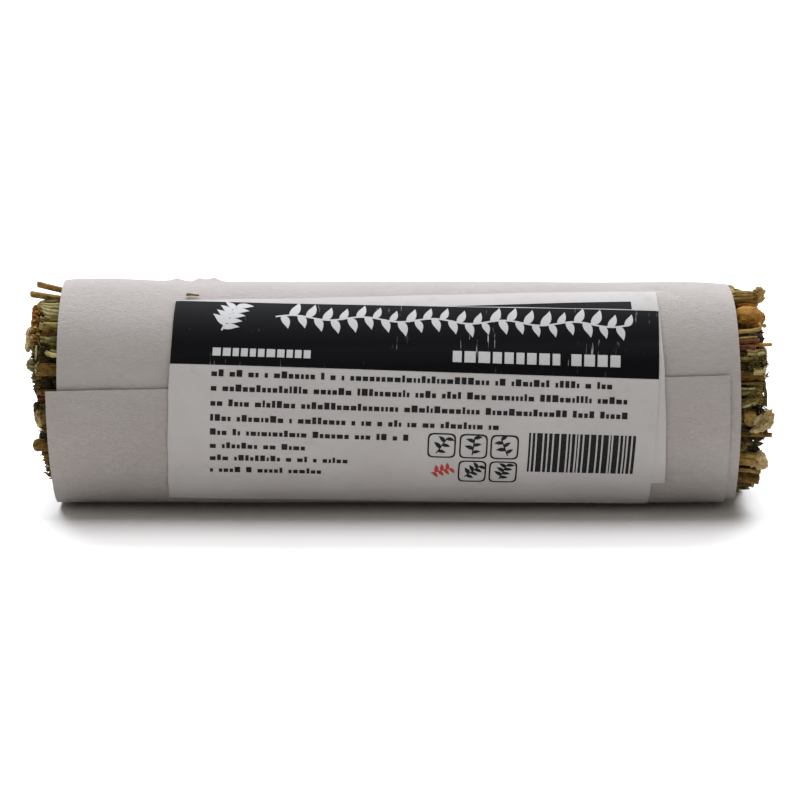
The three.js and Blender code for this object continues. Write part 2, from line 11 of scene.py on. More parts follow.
import bpy
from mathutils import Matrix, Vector


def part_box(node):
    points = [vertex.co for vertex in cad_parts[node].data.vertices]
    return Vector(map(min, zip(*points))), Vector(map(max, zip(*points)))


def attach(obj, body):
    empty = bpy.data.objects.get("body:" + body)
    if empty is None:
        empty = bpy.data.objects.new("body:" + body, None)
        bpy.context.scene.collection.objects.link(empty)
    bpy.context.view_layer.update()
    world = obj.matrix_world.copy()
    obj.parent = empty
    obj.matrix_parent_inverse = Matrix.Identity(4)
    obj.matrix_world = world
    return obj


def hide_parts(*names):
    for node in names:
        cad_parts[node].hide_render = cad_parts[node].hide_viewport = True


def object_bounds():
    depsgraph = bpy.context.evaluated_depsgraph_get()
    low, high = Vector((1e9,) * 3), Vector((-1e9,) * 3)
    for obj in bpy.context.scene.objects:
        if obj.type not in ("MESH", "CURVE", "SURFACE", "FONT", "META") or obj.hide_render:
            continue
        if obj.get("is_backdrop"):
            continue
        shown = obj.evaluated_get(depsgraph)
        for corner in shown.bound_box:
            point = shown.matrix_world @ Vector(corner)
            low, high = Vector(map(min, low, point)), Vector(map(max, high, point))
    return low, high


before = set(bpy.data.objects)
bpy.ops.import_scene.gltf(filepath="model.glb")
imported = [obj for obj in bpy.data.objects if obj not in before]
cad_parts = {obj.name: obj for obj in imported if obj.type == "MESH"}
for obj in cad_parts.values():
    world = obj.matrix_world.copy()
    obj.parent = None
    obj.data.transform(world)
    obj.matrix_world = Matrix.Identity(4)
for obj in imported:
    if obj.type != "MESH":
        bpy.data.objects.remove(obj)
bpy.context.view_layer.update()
MM = 0.001
TO_MM = 1000
DEGREE = math.radians(1)
thread_low, thread_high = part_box("binding_thread")
AXIS = (thread_low + thread_high) / 2

# %% [markdown]
# ## Node maths as Python
# A node tree that is wired by hand hides its formula. This small class wraps one socket and overloads
# the operators, so a formula reads as it would on paper and every + or * adds its Math node. The same
# class serves the materials and the Geometry Nodes trees, because both kinds share the Math node.

# %% Sockets that do arithmetic
class Socket:
    """One output of a node. Arithmetic on it adds Math nodes to its tree."""

    def __init__(self, graph, end):
        self.graph, self.end = graph, end

    def out(self, name):
        """Another output of the same node."""
        return Socket(self.graph, self.end.node.outputs[name])

    def math(self, operation, *others):
        numbers = dict(enumerate((self, *others)))
        return self.graph.node("ShaderNodeMath", numbers, operation=operation)

    def __rsub__(self, other):
        return self * -1 + other

    __add__ = __radd__ = partialmethod(math, "ADD")
    __sub__ = partialmethod(math, "SUBTRACT")
    __mul__ = __rmul__ = partialmethod(math, "MULTIPLY")
    __truediv__ = partialmethod(math, "DIVIDE")
    __pow__ = partialmethod(math, "POWER")
    __gt__ = partialmethod(math, "GREATER_THAN")
    __lt__ = partialmethod(math, "LESS_THAN")
    __abs__ = partialmethod(math, "ABSOLUTE")
    sin = partialmethod(math, "SINE")
    cos = partialmethod(math, "COSINE")
    least = partialmethod(math, "MINIMUM")
    most = partialmethod(math, "MAXIMUM")

    def cos_sin(self):
        return self.cos(), self.sin()

    def share(self, low, high):
        """0 up to low and 1 from high on, with a straight climb between them."""
        return ((self - low) / (high - low)).most(0).least(1)

    def bell(self, middle, width):
        """1 at the middle, falling away on both sides like a bell."""
        return (((self - middle) / width) ** 2 * -1).math("EXPONENT")


class Graph:
    """A node tree that is filled through one method."""

    def __init__(self, tree):
        self.tree = tree

    def node(self, kind, sockets=None, **settings):
        """Adds a node. Its inputs are named, or numbered, and each gets a number or is linked."""
        made = self.tree.nodes.new(kind)
        for name, value in settings.items():
            setattr(made, name, value)
        for name, value in (sockets or {}).items():
            shown = [end for end in made.inputs if end.enabled]
            end = shown[name] if isinstance(name, int) else next(e for e in shown if e.name == name)
            if isinstance(value, Socket):
                self.tree.links.new(value.end, end)
            else:
                end.default_value = value
        outputs = [end for end in made.outputs if end.enabled]
        return Socket(self, outputs[0]) if outputs else None

    def vector(self, x, y, z):
        return self.node("ShaderNodeCombineXYZ", {"X": x, "Y": y, "Z": z})

    def parts(self, vector):
        split = self.node("ShaderNodeSeparateXYZ", {"Vector": vector})
        return split, split.out("Y"), split.out("Z")

    def noise(self, spot, scale, detail, roughness):
        """Noise at a place, which is a vector or its three parts."""
        spot = self.vector(*spot) if isinstance(spot, tuple) else spot
        sockets = {"Vector": spot, "Scale": scale, "Detail": detail, "Roughness": roughness}
        return self.node("ShaderNodeTexNoise", sockets)

    def mix(self, share, first, second):
        """A blend of two colours."""
        sockets = {"Factor": share, "A": first, "B": second}
        return self.node("ShaderNodeMix", sockets, data_type="RGBA")


# %% [markdown]
# ## Geometry Nodes recipes
# A recipe is a Geometry Nodes tree with named inputs, and `recipe.Length` is the socket of one. `grow`
# gives an empty object that tree, sets the inputs by their identifiers before anything is evaluated,
# and keeps the result as a plain mesh, so that nothing live is left on the finished piece.

# %% Recipes and how they are grown
MERGE_WITHIN = 0.0001 * MM
SOCKET_KINDS = {float: "NodeSocketFloat", int: "NodeSocketInt"}


class Recipe(Graph):
    """A Geometry Nodes tree. Its named inputs are sizes, counts, seeds, objects and materials."""

    def __init__(self, name, **given):
        super().__init__(bpy.data.node_groups.new(name, "GeometryNodeTree"))
        face = self.tree.interface
        self.inputs = {}
        for key, value in given.items():
            kind = SOCKET_KINDS.get(type(value)) or f"NodeSocket{value}"
            socket = face.new_socket(key, in_out="INPUT", socket_type=kind)
            self.inputs[key] = socket.identifier, type(value)
            if type(value) in SOCKET_KINDS:
                socket.default_value = value
        face.new_socket("Geometry", in_out="OUTPUT", socket_type="NodeSocketGeometry")
        self.entry = self.tree.nodes.new("NodeGroupInput")

    def __getattr__(self, key):
        return Socket(self, self.entry.outputs[key])

    def finish(self, geometry):
        self.node("NodeGroupOutput", {"Geometry": geometry})
        return self

    def place(self):
        """X, Y and Z of each point."""
        return self.parts(self.node("GeometryNodeInputPosition"))

    def moved(self, geometry, x, y, z=0.0):
        spot = self.vector(x, y, z)
        return self.node("GeometryNodeSetPosition", {"Geometry": geometry, "Position": spot})

    def sheet(self, rows, columns):
        """A flat grid whose X and Y run from 0 to 1."""
        grid = self.node("GeometryNodeMeshGrid", {"Vertices X": rows, "Vertices Y": columns})
        x, y, z = self.place()
        return self.moved(grid, x + 0.5, y + 0.5, z)

    def thick(self, sheet, thickness):
        """A closed shell: the sheet raised along its normals, over its own turned underside."""
        sockets = {"Mesh": sheet, "Offset Scale": thickness, "Individual": False}
        raised = self.node("GeometryNodeExtrudeMesh", sockets)
        under = self.node("GeometryNodeFlipFaces", {"Mesh": sheet})
        return self.merged(self.joined(raised, under))

    def merged(self, geometry):
        sockets = {"Geometry": geometry, "Distance": MERGE_WITHIN}
        return self.node("GeometryNodeMergeByDistance", sockets)

    def joined(self, *parts):
        join = self.tree.nodes.new("GeometryNodeJoinGeometry")
        for part in reversed(parts):
            self.tree.links.new(part.end, join.inputs[0])
        return Socket(self, join.outputs[0])

    def draw(self, low, high, seed, key=None):
        """A random number for each element, or for each value of key."""
        sockets = {"Min": low, "Max": high, "Seed": seed}
        if key is not None:
            sockets["ID"] = key
        return self.node("FunctionNodeRandomValue", sockets, data_type="FLOAT")

    def draws(self, seed, **ranges):
        """A random number by name, from each range, with seeds that follow each other."""
        return {name: self.draw(*ends, seed + i) for i, (name, ends) in enumerate(ranges.items())}

    def noted(self, geometry, name, value):
        """Keeps a number or a vector on the geometry, for the material to read."""
        value = self.vector(*value) if isinstance(value, tuple) else value
        kind = "FLOAT_VECTOR" if value.end.type == "VECTOR" else "FLOAT"
        sockets = {"Geometry": geometry, "Name": name, "Value": value}
        return self.node("GeometryNodeStoreNamedAttribute", sockets, data_type=kind)

    def known(self, name):
        """A number that an earlier step kept on the geometry."""
        return self.node("GeometryNodeInputNamedAttribute", {"Name": name}, data_type="FLOAT")

    def copies(self, sheet, count, skip=None, **fields):
        """Realized copies of a sheet, each with its own value of every field."""
        points = self.node("GeometryNodePoints", {"Count": count})
        for name, value in fields.items():
            points = self.noted(points, name, value)
        if skip is not None:
            sockets = {"Geometry": points, "Selection": skip}
            points = self.node("GeometryNodeDeleteGeometry", sockets)
        sockets = {"Points": points, "Instance": sheet}
        planted = self.node("GeometryNodeInstanceOnPoints", sockets)
        return self.node("GeometryNodeRealizeInstances", {"Geometry": planted})

    def dressed(self, geometry, material, where=None):
        sockets = {"Geometry": geometry, "Material": material}
        if where is not None:
            sockets["Selection"] = where
        return self.node("GeometryNodeSetMaterial", sockets)

    def shell(self, sheet, thickness, material):
        """Finishes the recipe with one sheet, made thick, in one material."""
        return self.finish(self.dressed(self.thick(sheet, thickness), material))

    def crumpled(self, spot, scale, size):
        """Three small shifts, up to about size each, that change slowly with the place."""
        noisy = self.noise(spot, scale, 3.0, 0.6).out("Color")
        return [(part - 0.5) * (2 * size) for part in self.parts(noisy)]


def grow(name, recipe, **given):
    """Runs a recipe and returns its result as a plain object at the origin, in metres."""
    seedling = bpy.data.objects.new(name + "_seedling", bpy.data.meshes.new(name))
    bpy.context.scene.collection.objects.link(seedling)
    modifier = seedling.modifiers.new(name, "NODES")
    modifier.node_group = recipe.tree
    for key, value in given.items():
        identifier, kind = recipe.inputs[key]
        modifier[identifier] = kind(value) if kind in SOCKET_KINDS else value
    graph = bpy.context.evaluated_depsgraph_get()
    mesh = bpy.data.meshes.new_from_object(seedling.evaluated_get(graph), depsgraph=graph)
    bpy.data.objects.remove(seedling)
    piece = bpy.data.objects.new(name, mesh)
    mesh.name = name
    bpy.context.scene.collection.objects.link(piece)
    return piece


SHARP_ABOVE = 58 * DEGREE


def settle(piece, slot, *nodes):
    """Hands a finished piece to the frame, smooth but for its cut edges."""
    piece.data.shade_smooth()
    piece.data.set_sharp_from_angle(angle=SHARP_ABOVE)
    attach(piece, "root")
    if nodes:
        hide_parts(*nodes)
    faces = len(piece.data.polygons)
    print(f"{piece.name}: {faces} faces" + (f", in place of {', '.join(nodes)}" if nodes else ""))
    return piece


# %% [markdown]
# ## Materials
# Every surface here is matt and fibrous, so the finishes are built from the same few ideas: a base
# colour that drifts slowly, a finer grain, and a bump that the light can catch. They read Object
# coordinates, in metres, or numbers that a recipe has noted on the mesh, such as where a point lies
# on its leaf.

# %% A material is a function that paints a shader
def paint(name, recipe, sheen=0.0, specular=0.3):
    """A material whose colour, roughness and height come from a function of its graph."""
    material = bpy.data.materials.new(name)
    material.use_nodes = True
    material.node_tree.nodes.clear()
    graph = Graph(material.node_tree)
    look = recipe(graph)
    sockets = {"Base Color": look["colour"], "Roughness": look["roughness"],
               "Sheen Weight": sheen, "Specular IOR Level": specular}
    if "height" in look:
        bump = {"Height": look["height"], "Distance": look["depth"], "Strength": 1.0}
        sockets["Normal"] = graph.node("ShaderNodeBump", bump)
    shader = graph.node("ShaderNodeBsdfPrincipled", sockets)
    graph.node("ShaderNodeOutputMaterial", {"Surface": shader})
    return material


def here(graph, stretch=(1, 1, 1)):
    """Object coordinates in millimetres, squeezed along each axis."""
    spot = graph.node("ShaderNodeTexCoord").out("Object")
    factor = [s / MM for s in stretch]
    return graph.node("ShaderNodeVectorMath", {0: spot, 1: factor}, operation="MULTIPLY")


def noted(graph, name, kind="Vector"):
    """A number or vector that the recipe kept on the mesh."""
    return graph.node("ShaderNodeAttribute", attribute_name=name).out(kind)


def grey(value, warmth=0.0):
    """A grey, a little warmer or cooler, as red, green, blue and alpha."""
    return (value * (1 + warmth * 1.4), value, value * (1 - warmth), 1.0)


# %% [markdown]
# ## The rolled paper
# The wrap is one sheet rolled a turn and a third, so its shape is a rule: the surface comes a little
# closer to the axis with each turn, drifts along the stick like a screw, and is pressed flat where it
# rests. Modelling it by hand would lose that rule, so a grid is bent by the formula. The same formula
# carries the labels and their print, which keeps every layer parallel to the paper.

# %% The wrap's rule
TURN = 360 * DEGREE
PAPER_RADIUS = 15.25 * MM
PAPER_THICKNESS = 0.18 * MM
PAPER_WIDTH = 90 * MM
PAPER_LEFT = -46.7 * MM
ROLL_PITCH = 0.35 * MM
ROLL_DRIFT = 1.43 * MM
ROLLED = 480 * DEGREE
EDGE_ANGLE = 16.6 * DEGREE
EDGE_TILT = 0.09 * DEGREE / MM
EDGE_TILT_FADES = 60 * DEGREE
EDGE_LIFT = 0.16 * MM
EDGE_LIFT_FADES = 5 * DEGREE
LABELLED = Vector((2 * MM, 33 * MM))
EDGE_FREED = 9 * MM
BOTTOM = -90 * DEGREE

# Slow swells of the paper over the herbs: waves per metre along the stick, whole waves round it,
# phase and height in millimetres.
SWELLS = (
    (52, 5, 0.4, 0.050),
    (127, 3, 1.9, 0.035),
    (31, 9, 2.2, 0.030),
    (240, 4, 4.1, 0.018),
)
# The lower front is squarer than a circle: angle, half angle and height, in degrees and millimetres.
FULLNESS = (-57, 16, 0.75)
# Places where the paper stands up or sinks: three sharp crumples, the broad swell and the rims at the
# ends, and two dents. Middle along the stick, angle, half length, half angle and height, in
# millimetres and degrees.
CRUMPLES = (
    (-30.4, 101, 0.9, 5, 0.42),
    (-27.4, 99, 0.6, 4, 0.5),
    (-25.6, 102, 1.0, 5, 0.62),
    (-41.0, 92, 8.0, 26, 0.42),
    (-46.6, 92, 0.9, 26, -0.35),
    (45.0, 88, 3.5, 26, -0.42),
    (34.8, 79, 1.1, 3, -0.22),
    (36.4, 74, 0.8, 3, -0.2),
)


def swell(x, angle):
    """How far the paper stands up or sinks at a place on the stick."""
    at, width, size = FULLNESS
    height = angle.bell(at * DEGREE, width * DEGREE) * (size * MM)
    for along, around, phase, size in SWELLS:
        height = (x * along + angle * around + phase).sin() * (size * MM) + height
    for middle, at, length, width, size in CRUMPLES:
        bump = x.bell(middle * MM, length * MM) * angle.bell(at * DEGREE, width * DEGREE)
        height = bump * (size * MM) + height
    return height


def roll_radius(turned, angle):
    """Distance of the roll's outside from the axis, flat where the stick rests."""
    round_part = PAPER_RADIUS - turned * (ROLL_PITCH / TURN)
    towards_floor = (angle - BOTTOM).cos()
    layer = turned > TURN
    flat = (AXIS.z - layer * ROLL_PITCH) / towards_floor.most(0.01)
    return round_part.least(flat)


def around(x, radius, angle):
    """X, Y and Z of a point at a radius and an angle about the stick's axis."""
    return x + AXIS.x, AXIS.y - radius * angle.cos(), AXIS.z + radius * angle.sin()


def still(angle):
    """0 on the flat that the stick rests on, 1 elsewhere."""
    return 1 - (angle - BOTTOM).cos().share(0.93, 0.97)


# %% The paper as a bent grid
wrap = Recipe("rolled_paper", Paper="Material")
u, v, _ = wrap.place()
turned = v * ROLLED
x = PAPER_LEFT + u * PAPER_WIDTH + turned * (ROLL_DRIFT / TURN)
tilt = x * EDGE_TILT * (1 - turned / EDGE_TILT_FADES).most(0)
angle = EDGE_ANGLE + tilt - turned
upright = angle + (angle < -180 * DEGREE) * TURN
free = abs(x - LABELLED.x).share(LABELLED.y, LABELLED.y + EDGE_FREED)
lifted = (1 - turned / EDGE_LIFT_FADES).most(0) ** 2 * EDGE_LIFT * free
radius = roll_radius(turned, angle) + swell(x, upright) * still(angle) + lifted - PAPER_THICKNESS
flat = wrap.sheet(90, 240)
wrap.shell(wrap.moved(flat, *around(x, radius, angle)), PAPER_THICKNESS, wrap.Paper)


def paper_look(graph):
    spot = here(graph)
    drift = graph.noise(spot, 0.06, 3.0, 0.6)
    fibre = graph.noise(here(graph, (0.8, 2.2, 2.2)), 1.0, 5.0, 0.7)
    fleck = graph.noise(spot, 5.0, 2.0, 0.6).share(0.66, 0.72)
    soft = graph.mix(drift.share(0.3, 0.7), grey(0.272, 0.085), grey(0.312, 0.065))
    fibrous = graph.mix(fibre.share(0.35, 0.75) * 0.35, soft, grey(0.37, 0.06))
    crease = graph.noise(here(graph, (0.95, 1.7, 1.7)), 0.85, 5.0, 0.66)
    wrinkle = abs(graph.noise(here(graph, (0.8, 1.7, 1.7)), 1.2, 3.0, 0.6) - 0.5).share(0.0, 0.05)
    return {
        "colour": graph.mix(fleck * 0.25, fibrous, grey(0.18, 0.12)),
        "roughness": 0.78 + drift * 0.15,
        "height": crease * 0.75 + fibre * 0.3 + wrinkle * 0.28,
        "depth": 0.10 * MM,
    }


paper = paint("grey wrapping paper", paper_look, specular=0.1)
wrap_sheet = grow("wrap_sheet", wrap, Paper=paper)
settle(wrap_sheet, "paper", "paper_wrap")

# %% [markdown]
# ## Two labels
# Each label is a rectangle of thin coated paper, stuck on askew. Its corners are worked out flat, as
# distances right of and above its middle, and the same rule then lays them on the roll. The upper one
# rides over the lower one, so its height climbs at the lower label's edges and that ridge shows
# through, as it does with real stickers.

# %% Labels laid on the roll
class Label:
    """A rectangle on the roll, given in millimetres and degrees."""

    def __init__(self, width, height, middle, angle, turn):
        self.width, self.height, self.middle = width * MM, height * MM, middle * MM
        self.angle, self.turn = angle * DEGREE, turn * DEGREE


UNDER_LABEL = Label(64, 30.5, 2.7, 13, -2)
TOP_LABEL = Label(64.3, 31, 1.6, 3.3, 1.9)
LABEL_THICKNESS = 0.09 * MM
LABEL_GAP = 0.02 * MM
RIDGE = 0.8 * MM
STEP_HOLDS = 9 * DEGREE
STEP_ENDS = 19 * DEGREE
CUT_WAVER = 0.03 * MM


def from_flat(label, right, up):
    """Place along the stick and angle about it of a place on a flat label."""
    cos, sin = math.cos(label.turn), math.sin(label.turn)
    x = label.middle + right * cos + up * sin
    return x, label.angle + (up * cos - right * sin) / PAPER_RADIUS


def to_flat(label, x, angle):
    cos, sin = math.cos(label.turn), math.sin(label.turn)
    along, arc = x - label.middle, (angle - label.angle) * PAPER_RADIUS
    return along * cos - arc * sin, along * sin + arc * cos


def wrap_radius(x, angle):
    """Radius of the wrapped paper, bridging the step at its free edge."""
    past = angle - EDGE_ANGLE - x * EDGE_TILT
    beyond = past > 0
    bridge = beyond * (1 - past.share(STEP_HOLDS, STEP_ENDS)) * ROLL_PITCH
    return roll_radius(beyond * TURN - past, angle) + swell(x, angle) * still(angle) + bridge


def lift(label, x, angle):
    """Height of a label's underside above the paper."""
    if label is UNDER_LABEL:
        return LABEL_GAP
    right, up = to_flat(UNDER_LABEL, x, angle)
    sideways = (UNDER_LABEL.width / 2 - abs(right)).share(-RIDGE / 2, RIDGE / 2)
    upwards = (UNDER_LABEL.height / 2 - abs(up)).share(-RIDGE / 2, RIDGE / 2)
    return LABEL_GAP + sideways.least(upwards) * (LABEL_THICKNESS + LABEL_GAP)


def laid(recipe, geometry, label, above):
    """Bends flat geometry, whose X and Y are places on a label, round the stick."""
    right, up, _ = recipe.place()
    x, angle = from_flat(label, right, up)
    radius = wrap_radius(x, angle) + lift(label, x, angle) + above
    kept = recipe.noted(geometry, "spread", (right / MM, up / MM, 0.0))
    return recipe.moved(kept, *around(x, radius, angle))


def label_recipe(label):
    recipe = Recipe("label", Paper="Material")
    u, v, _ = recipe.place()
    right, up = (u - 0.5) * label.width, (v - 0.5) * label.height
    sideways = (up * 900).sin() * CUT_WAVER * (u * 2 - 1)
    upwards = (right * 500 + 1.0).sin() * CUT_WAVER * (v * 2 - 1)
    flat = recipe.sheet(100, 44)
    flat = recipe.moved(flat, right + sideways, up + upwards)
    return recipe.shell(laid(recipe, flat, label, 0.0), LABEL_THICKNESS, recipe.Paper)


def label_look(graph):
    spot = here(graph)
    drift = graph.noise(spot, 0.08, 3.0, 0.6)
    fibre = graph.noise(here(graph, (1.6, 1.6, 1.6)), 2.0, 4.0, 0.7)
    soil = graph.noise(spot, 0.5, 5.0, 0.7).share(0.55, 0.8) * 0.5
    clean = graph.mix(drift.share(0.3, 0.7), grey(0.375, 0.045), grey(0.425, 0.035))
    return {
        "colour": graph.mix(soil, clean, grey(0.30, 0.06)),
        "roughness": 0.6 + drift * 0.2,
        "height": drift * 0.4 + fibre * 0.25,
        "depth": 0.05 * MM,
    }


label_paper = paint("coated label paper", label_look, specular=0.06)
under_label = grow("under_label_sheet", label_recipe(UNDER_LABEL), Paper=label_paper)
settle(under_label, "label", "under_label")
top_label = grow("top_label_sheet", label_recipe(TOP_LABEL), Paper=label_paper)
settle(top_label, "label", "top_label")

# %% [markdown]
# ## Print without words
# The print is a layer of ink, so it is made as thin real geometry: it stays crisp at any distance.
# Lines of writing become rows of plain blocks, a heading becomes a garland of sage leaves, and small
# pictures become square frames with a leaf in each.

# %% Rows of plain blocks
INK_THICKNESS = 0.012 * MM
INK_GAP = 0.006 * MM
INK_ABOVE = LABEL_THICKNESS + INK_GAP


def inked(recipe, flat, label=TOP_LABEL):
    return recipe.shell(laid(recipe, flat, label, INK_ABOVE), INK_THICKNESS, recipe.Ink)


def block_recipe():
    """A row of blocks of uneven width, some of them taller, with a wider space now and then."""
    recipe = Recipe("row_of_blocks", Start=0.0, Middle=0.0, Length=0.05, Narrow=0.0003, Wide=0.0008,
                    Height=0.0006, Tall=0.0003, Space=0.0002, Wordspace=0.0006, Words=0.2, Rows=int(4),
                    Seed=int(1), Ink="Material")
    wide = recipe.draw(recipe.Narrow, recipe.Wide, recipe.Seed)
    word_ends = recipe.draw(0.0, 1.0, recipe.Seed + 1) < recipe.Words
    step = wide + recipe.Space + word_ends * recipe.Wordspace
    start = recipe.node("GeometryNodeAccumulateField", {0: step}, data_type="FLOAT").out("Trailing")
    tall = (recipe.draw(0.0, 1.0, recipe.Seed + 2) > 0.7) * recipe.Tall
    count = recipe.Length / (recipe.Narrow + recipe.Space)
    blocks = recipe.copies(recipe.sheet(4, recipe.Rows), count, skip=start + wide > recipe.Length,
                           start=start, wide=wide, tall=tall)
    u, v, _ = recipe.place()
    right = recipe.Start + recipe.known("start") + u * recipe.known("wide")
    up = recipe.Middle + v * (recipe.Height + recipe.known("tall")) - recipe.Height * 0.5
    return inked(recipe, recipe.moved(blocks, right, up))


# %% Garlands of leaves
def garland_recipe():
    """A waved stem with leaves on both sides, which can be turned about its start."""
    recipe = Recipe("garland", Start=0.0, Middle=0.0, Length=0.047, Count=int(28), Leaf=0.003,
                    Width=0.0012, Lean=0.7, Turn=0.0, Wave=0.0003, Waves=3.0, Stem=0.00022, Ink="Material")
    u, v, _ = recipe.place()
    wave = (u * recipe.Waves * TURN).sin() * recipe.Wave
    stem = recipe.moved(recipe.sheet(90, 2), u * recipe.Length, wave + (v - 0.5) * recipe.Stem)
    index = recipe.node("GeometryNodeInputIndex")
    side = index.math("MODULO", 2) * 2 - 1
    share = (index + 0.6) / recipe.Count
    grown = recipe.draw(0.82, 1.12, 5)
    leaves = recipe.copies(recipe.sheet(9, 5), recipe.Count, side=side, share=share, grown=grown)
    length = recipe.Leaf * recipe.known("grown")
    along = u * length
    across = (v - 0.5) * recipe.Width * ((u ** 0.75) * (TURN / 2)).sin() * recipe.known("grown")
    lean = recipe.Lean + along / length * 0.5
    base = (recipe.known("share") * recipe.Waves * TURN).sin() * recipe.Wave
    side = recipe.known("side")
    x = recipe.known("share") * recipe.Length + along * lean.cos() - side * across * lean.sin()
    y = base + side * along * lean.sin() + across * lean.cos()
    both = recipe.joined(stem, recipe.moved(leaves, x, y))
    x, y, _ = recipe.place()
    cos, sin = recipe.Turn.cos_sin()
    turned = recipe.moved(both, recipe.Start + x * cos - y * sin, recipe.Middle + x * sin + y * cos)
    return inked(recipe, turned)


# %% Square frames and plain fields
def frame_recipe():
    """The outline of a square with soft corners."""
    recipe = Recipe("soft_square", Middle_x=0.0, Middle_y=0.0, Size=0.00375, Line=0.00022, Ink="Material")
    u, v, _ = recipe.place()
    angle = u * TURN
    cos, sin = angle.cos_sin()
    reach = (cos ** 2 * cos ** 2 * cos ** 2 + sin ** 2 * sin ** 2 * sin ** 2) ** (-1 / 6)
    half = recipe.Size * 0.5 - v * recipe.Line
    x, y = recipe.Middle_x + half * reach * cos, recipe.Middle_y + half * reach * sin
    return inked(recipe, recipe.moved(recipe.sheet(65, 2), x, y))


def field_recipe(label):
    """A plain printed rectangle."""
    recipe = Recipe("plain_field", Left=0.0, Right=0.01, Bottom=0.0, Top=0.01, Ink="Material")
    u, v, _ = recipe.place()
    x = recipe.Left + u * (recipe.Right - recipe.Left)
    y = recipe.Bottom + v * (recipe.Top - recipe.Bottom)
    return inked(recipe, recipe.moved(recipe.sheet(100, 22), x, y, 0.0), label)


# %% Inks
def black_look(graph):
    along, up, _ = graph.parts(noted(graph, "spread"))
    scratch = graph.noise((along * 2.6, up * 0.16, 3.0), 1.0, 3.0, 0.7)
    rubbed = graph.noise((along * 0.16, up * 0.16, 7.0), 1.0, 2.0, 0.5).share(0.52, 0.62)
    speckle = graph.noise(here(graph), 4.0, 3.0, 0.7)
    worn = (scratch.share(0.62, 0.66) * rubbed).most(speckle.share(0.72, 0.78) * 0.5)
    return {
        "colour": graph.mix(worn, (0.0040, 0.0038, 0.0044, 1), grey(0.32, 0.01)),
        "roughness": 0.42 + speckle * 0.22,
        "height": speckle,
        "depth": 0.02 * MM,
    }


def ink_look(colour, worn_colour):
    def look(graph):
        speckle = graph.noise(here(graph), 3.0, 4.0, 0.7)
        worn = graph.mix(speckle.share(0.55, 0.8), colour, worn_colour)
        return {"colour": worn, "roughness": 0.5 + speckle * 0.2}
    return look


black_ink = paint("black ink field", black_look, specular=0.03)
text_ink = paint("thin black ink", ink_look((0.010, 0.0095, 0.010, 1), grey(0.06)), specular=0.1)
white_ink = paint("unprinted white", ink_look(grey(0.42, 0.012), grey(0.33, 0.02)))
red_ink = paint("brick red ink", ink_look((0.36, 0.035, 0.02, 1), (0.32, 0.08, 0.05, 1)))

# %% The printed labels
BAND_TOP = 15.35 * MM
BAND_BOTTOM = 5.1 * MM
# From here on in millimetres, right of and above the label's middle. A row has its height and length.
UNDER_BAND = {"Left": -28.5, "Right": 28.4, "Bottom": 2.4, "Top": 12.7}
TEXT_START = -26.6
TEXT_ROWS = ((3.9, 52.8), (2.0, 54.8), (0.05, 54.8), (-1.95, 38.2), (-3.9, 26.3), (-5.85, 13.0),
             (-7.75, 18.6), (-9.7, 14.9))
FRAME_COLUMNS = (3.95, 8.15, 12.25)
FRAME_ROWS = (-4.8, -8.9)
FRAME_LEAF_REACH = 1.35
NO_LENGTH = {"Seed", "Rows", "Count", "Words", "Waves", "Lean", "Turn"}


def printed(name, recipe, ink, **given):
    """Grows a piece of ink whose lengths are in millimetres."""
    sized = {key: value if key in NO_LENGTH else value * MM for key, value in given.items()}
    return grow(name, recipe, Ink=ink, **sized)


def joined_piece(name, parts):
    """Joins plain mesh objects into one."""
    bpy.ops.object.select_all(action="DESELECT")
    for part in parts:
        part.select_set(True)
    bpy.context.view_layer.objects.active = parts[0]
    bpy.ops.object.join()
    parts[0].name = parts[0].data.name = name
    return parts[0]


blocks, garland, square = block_recipe(), garland_recipe(), frame_recipe()
band = grow("top_label_band", field_recipe(TOP_LABEL), Left=-TOP_LABEL.width / 2 + CUT_WAVER,
            Right=TOP_LABEL.width / 2 - CUT_WAVER, Bottom=BAND_BOTTOM, Top=BAND_TOP, Ink=black_ink)
settle(band, "label")
under_band = printed("under_label_band", field_recipe(UNDER_LABEL), black_ink, **UNDER_BAND)
settle(under_band, "label")

rows = [printed(f"text_row_{i}", blocks, text_ink, Start=TEXT_START, Middle=middle, Length=length,
                Seed=11 * i + 3) for i, (middle, length) in enumerate(TEXT_ROWS)]
stripes = printed("stripes", blocks, text_ink, Start=15.4, Middle=-5.6, Length=14.2, Narrow=0.12,
                  Wide=0.75, Height=6.2, Tall=0, Space=0.22, Words=0, Rows=18, Seed=8)
frames, leaves = [], []
for i, x in enumerate(FRAME_COLUMNS):
    for j, y in enumerate(FRAME_ROWS):
        red = (i, j) == (0, 1)
        ink = red_ink if red else text_ink
        name = "red_leaf" if red else f"leaf_{i}_{j}"
        turn = (60 + 25 * i - 40 * j) * DEGREE
        start = x - FRAME_LEAF_REACH * math.cos(turn)
        middle = y - FRAME_LEAF_REACH * math.sin(turn)
        leaves.append(printed(name, garland, ink, Start=start, Middle=middle, Turn=turn, Wave=0, Stem=0.16,
                              Length=2 * FRAME_LEAF_REACH, Count=5 + 2 * j, Leaf=1.15, Width=0.55))
        if not red:
            frames.append(printed(f"frame_{i}_{j}", square, ink, Middle_x=x, Middle_y=y))
red_leaf = next(leaf for leaf in leaves if leaf.name == "red_leaf")
leaves.remove(red_leaf)
settle(joined_piece("top_label_text_blocks", [*rows, stripes, *frames, *leaves]), "label")
red_leaf.name = red_leaf.data.name = "top_label_red_leaf"
settle(red_leaf, "label")

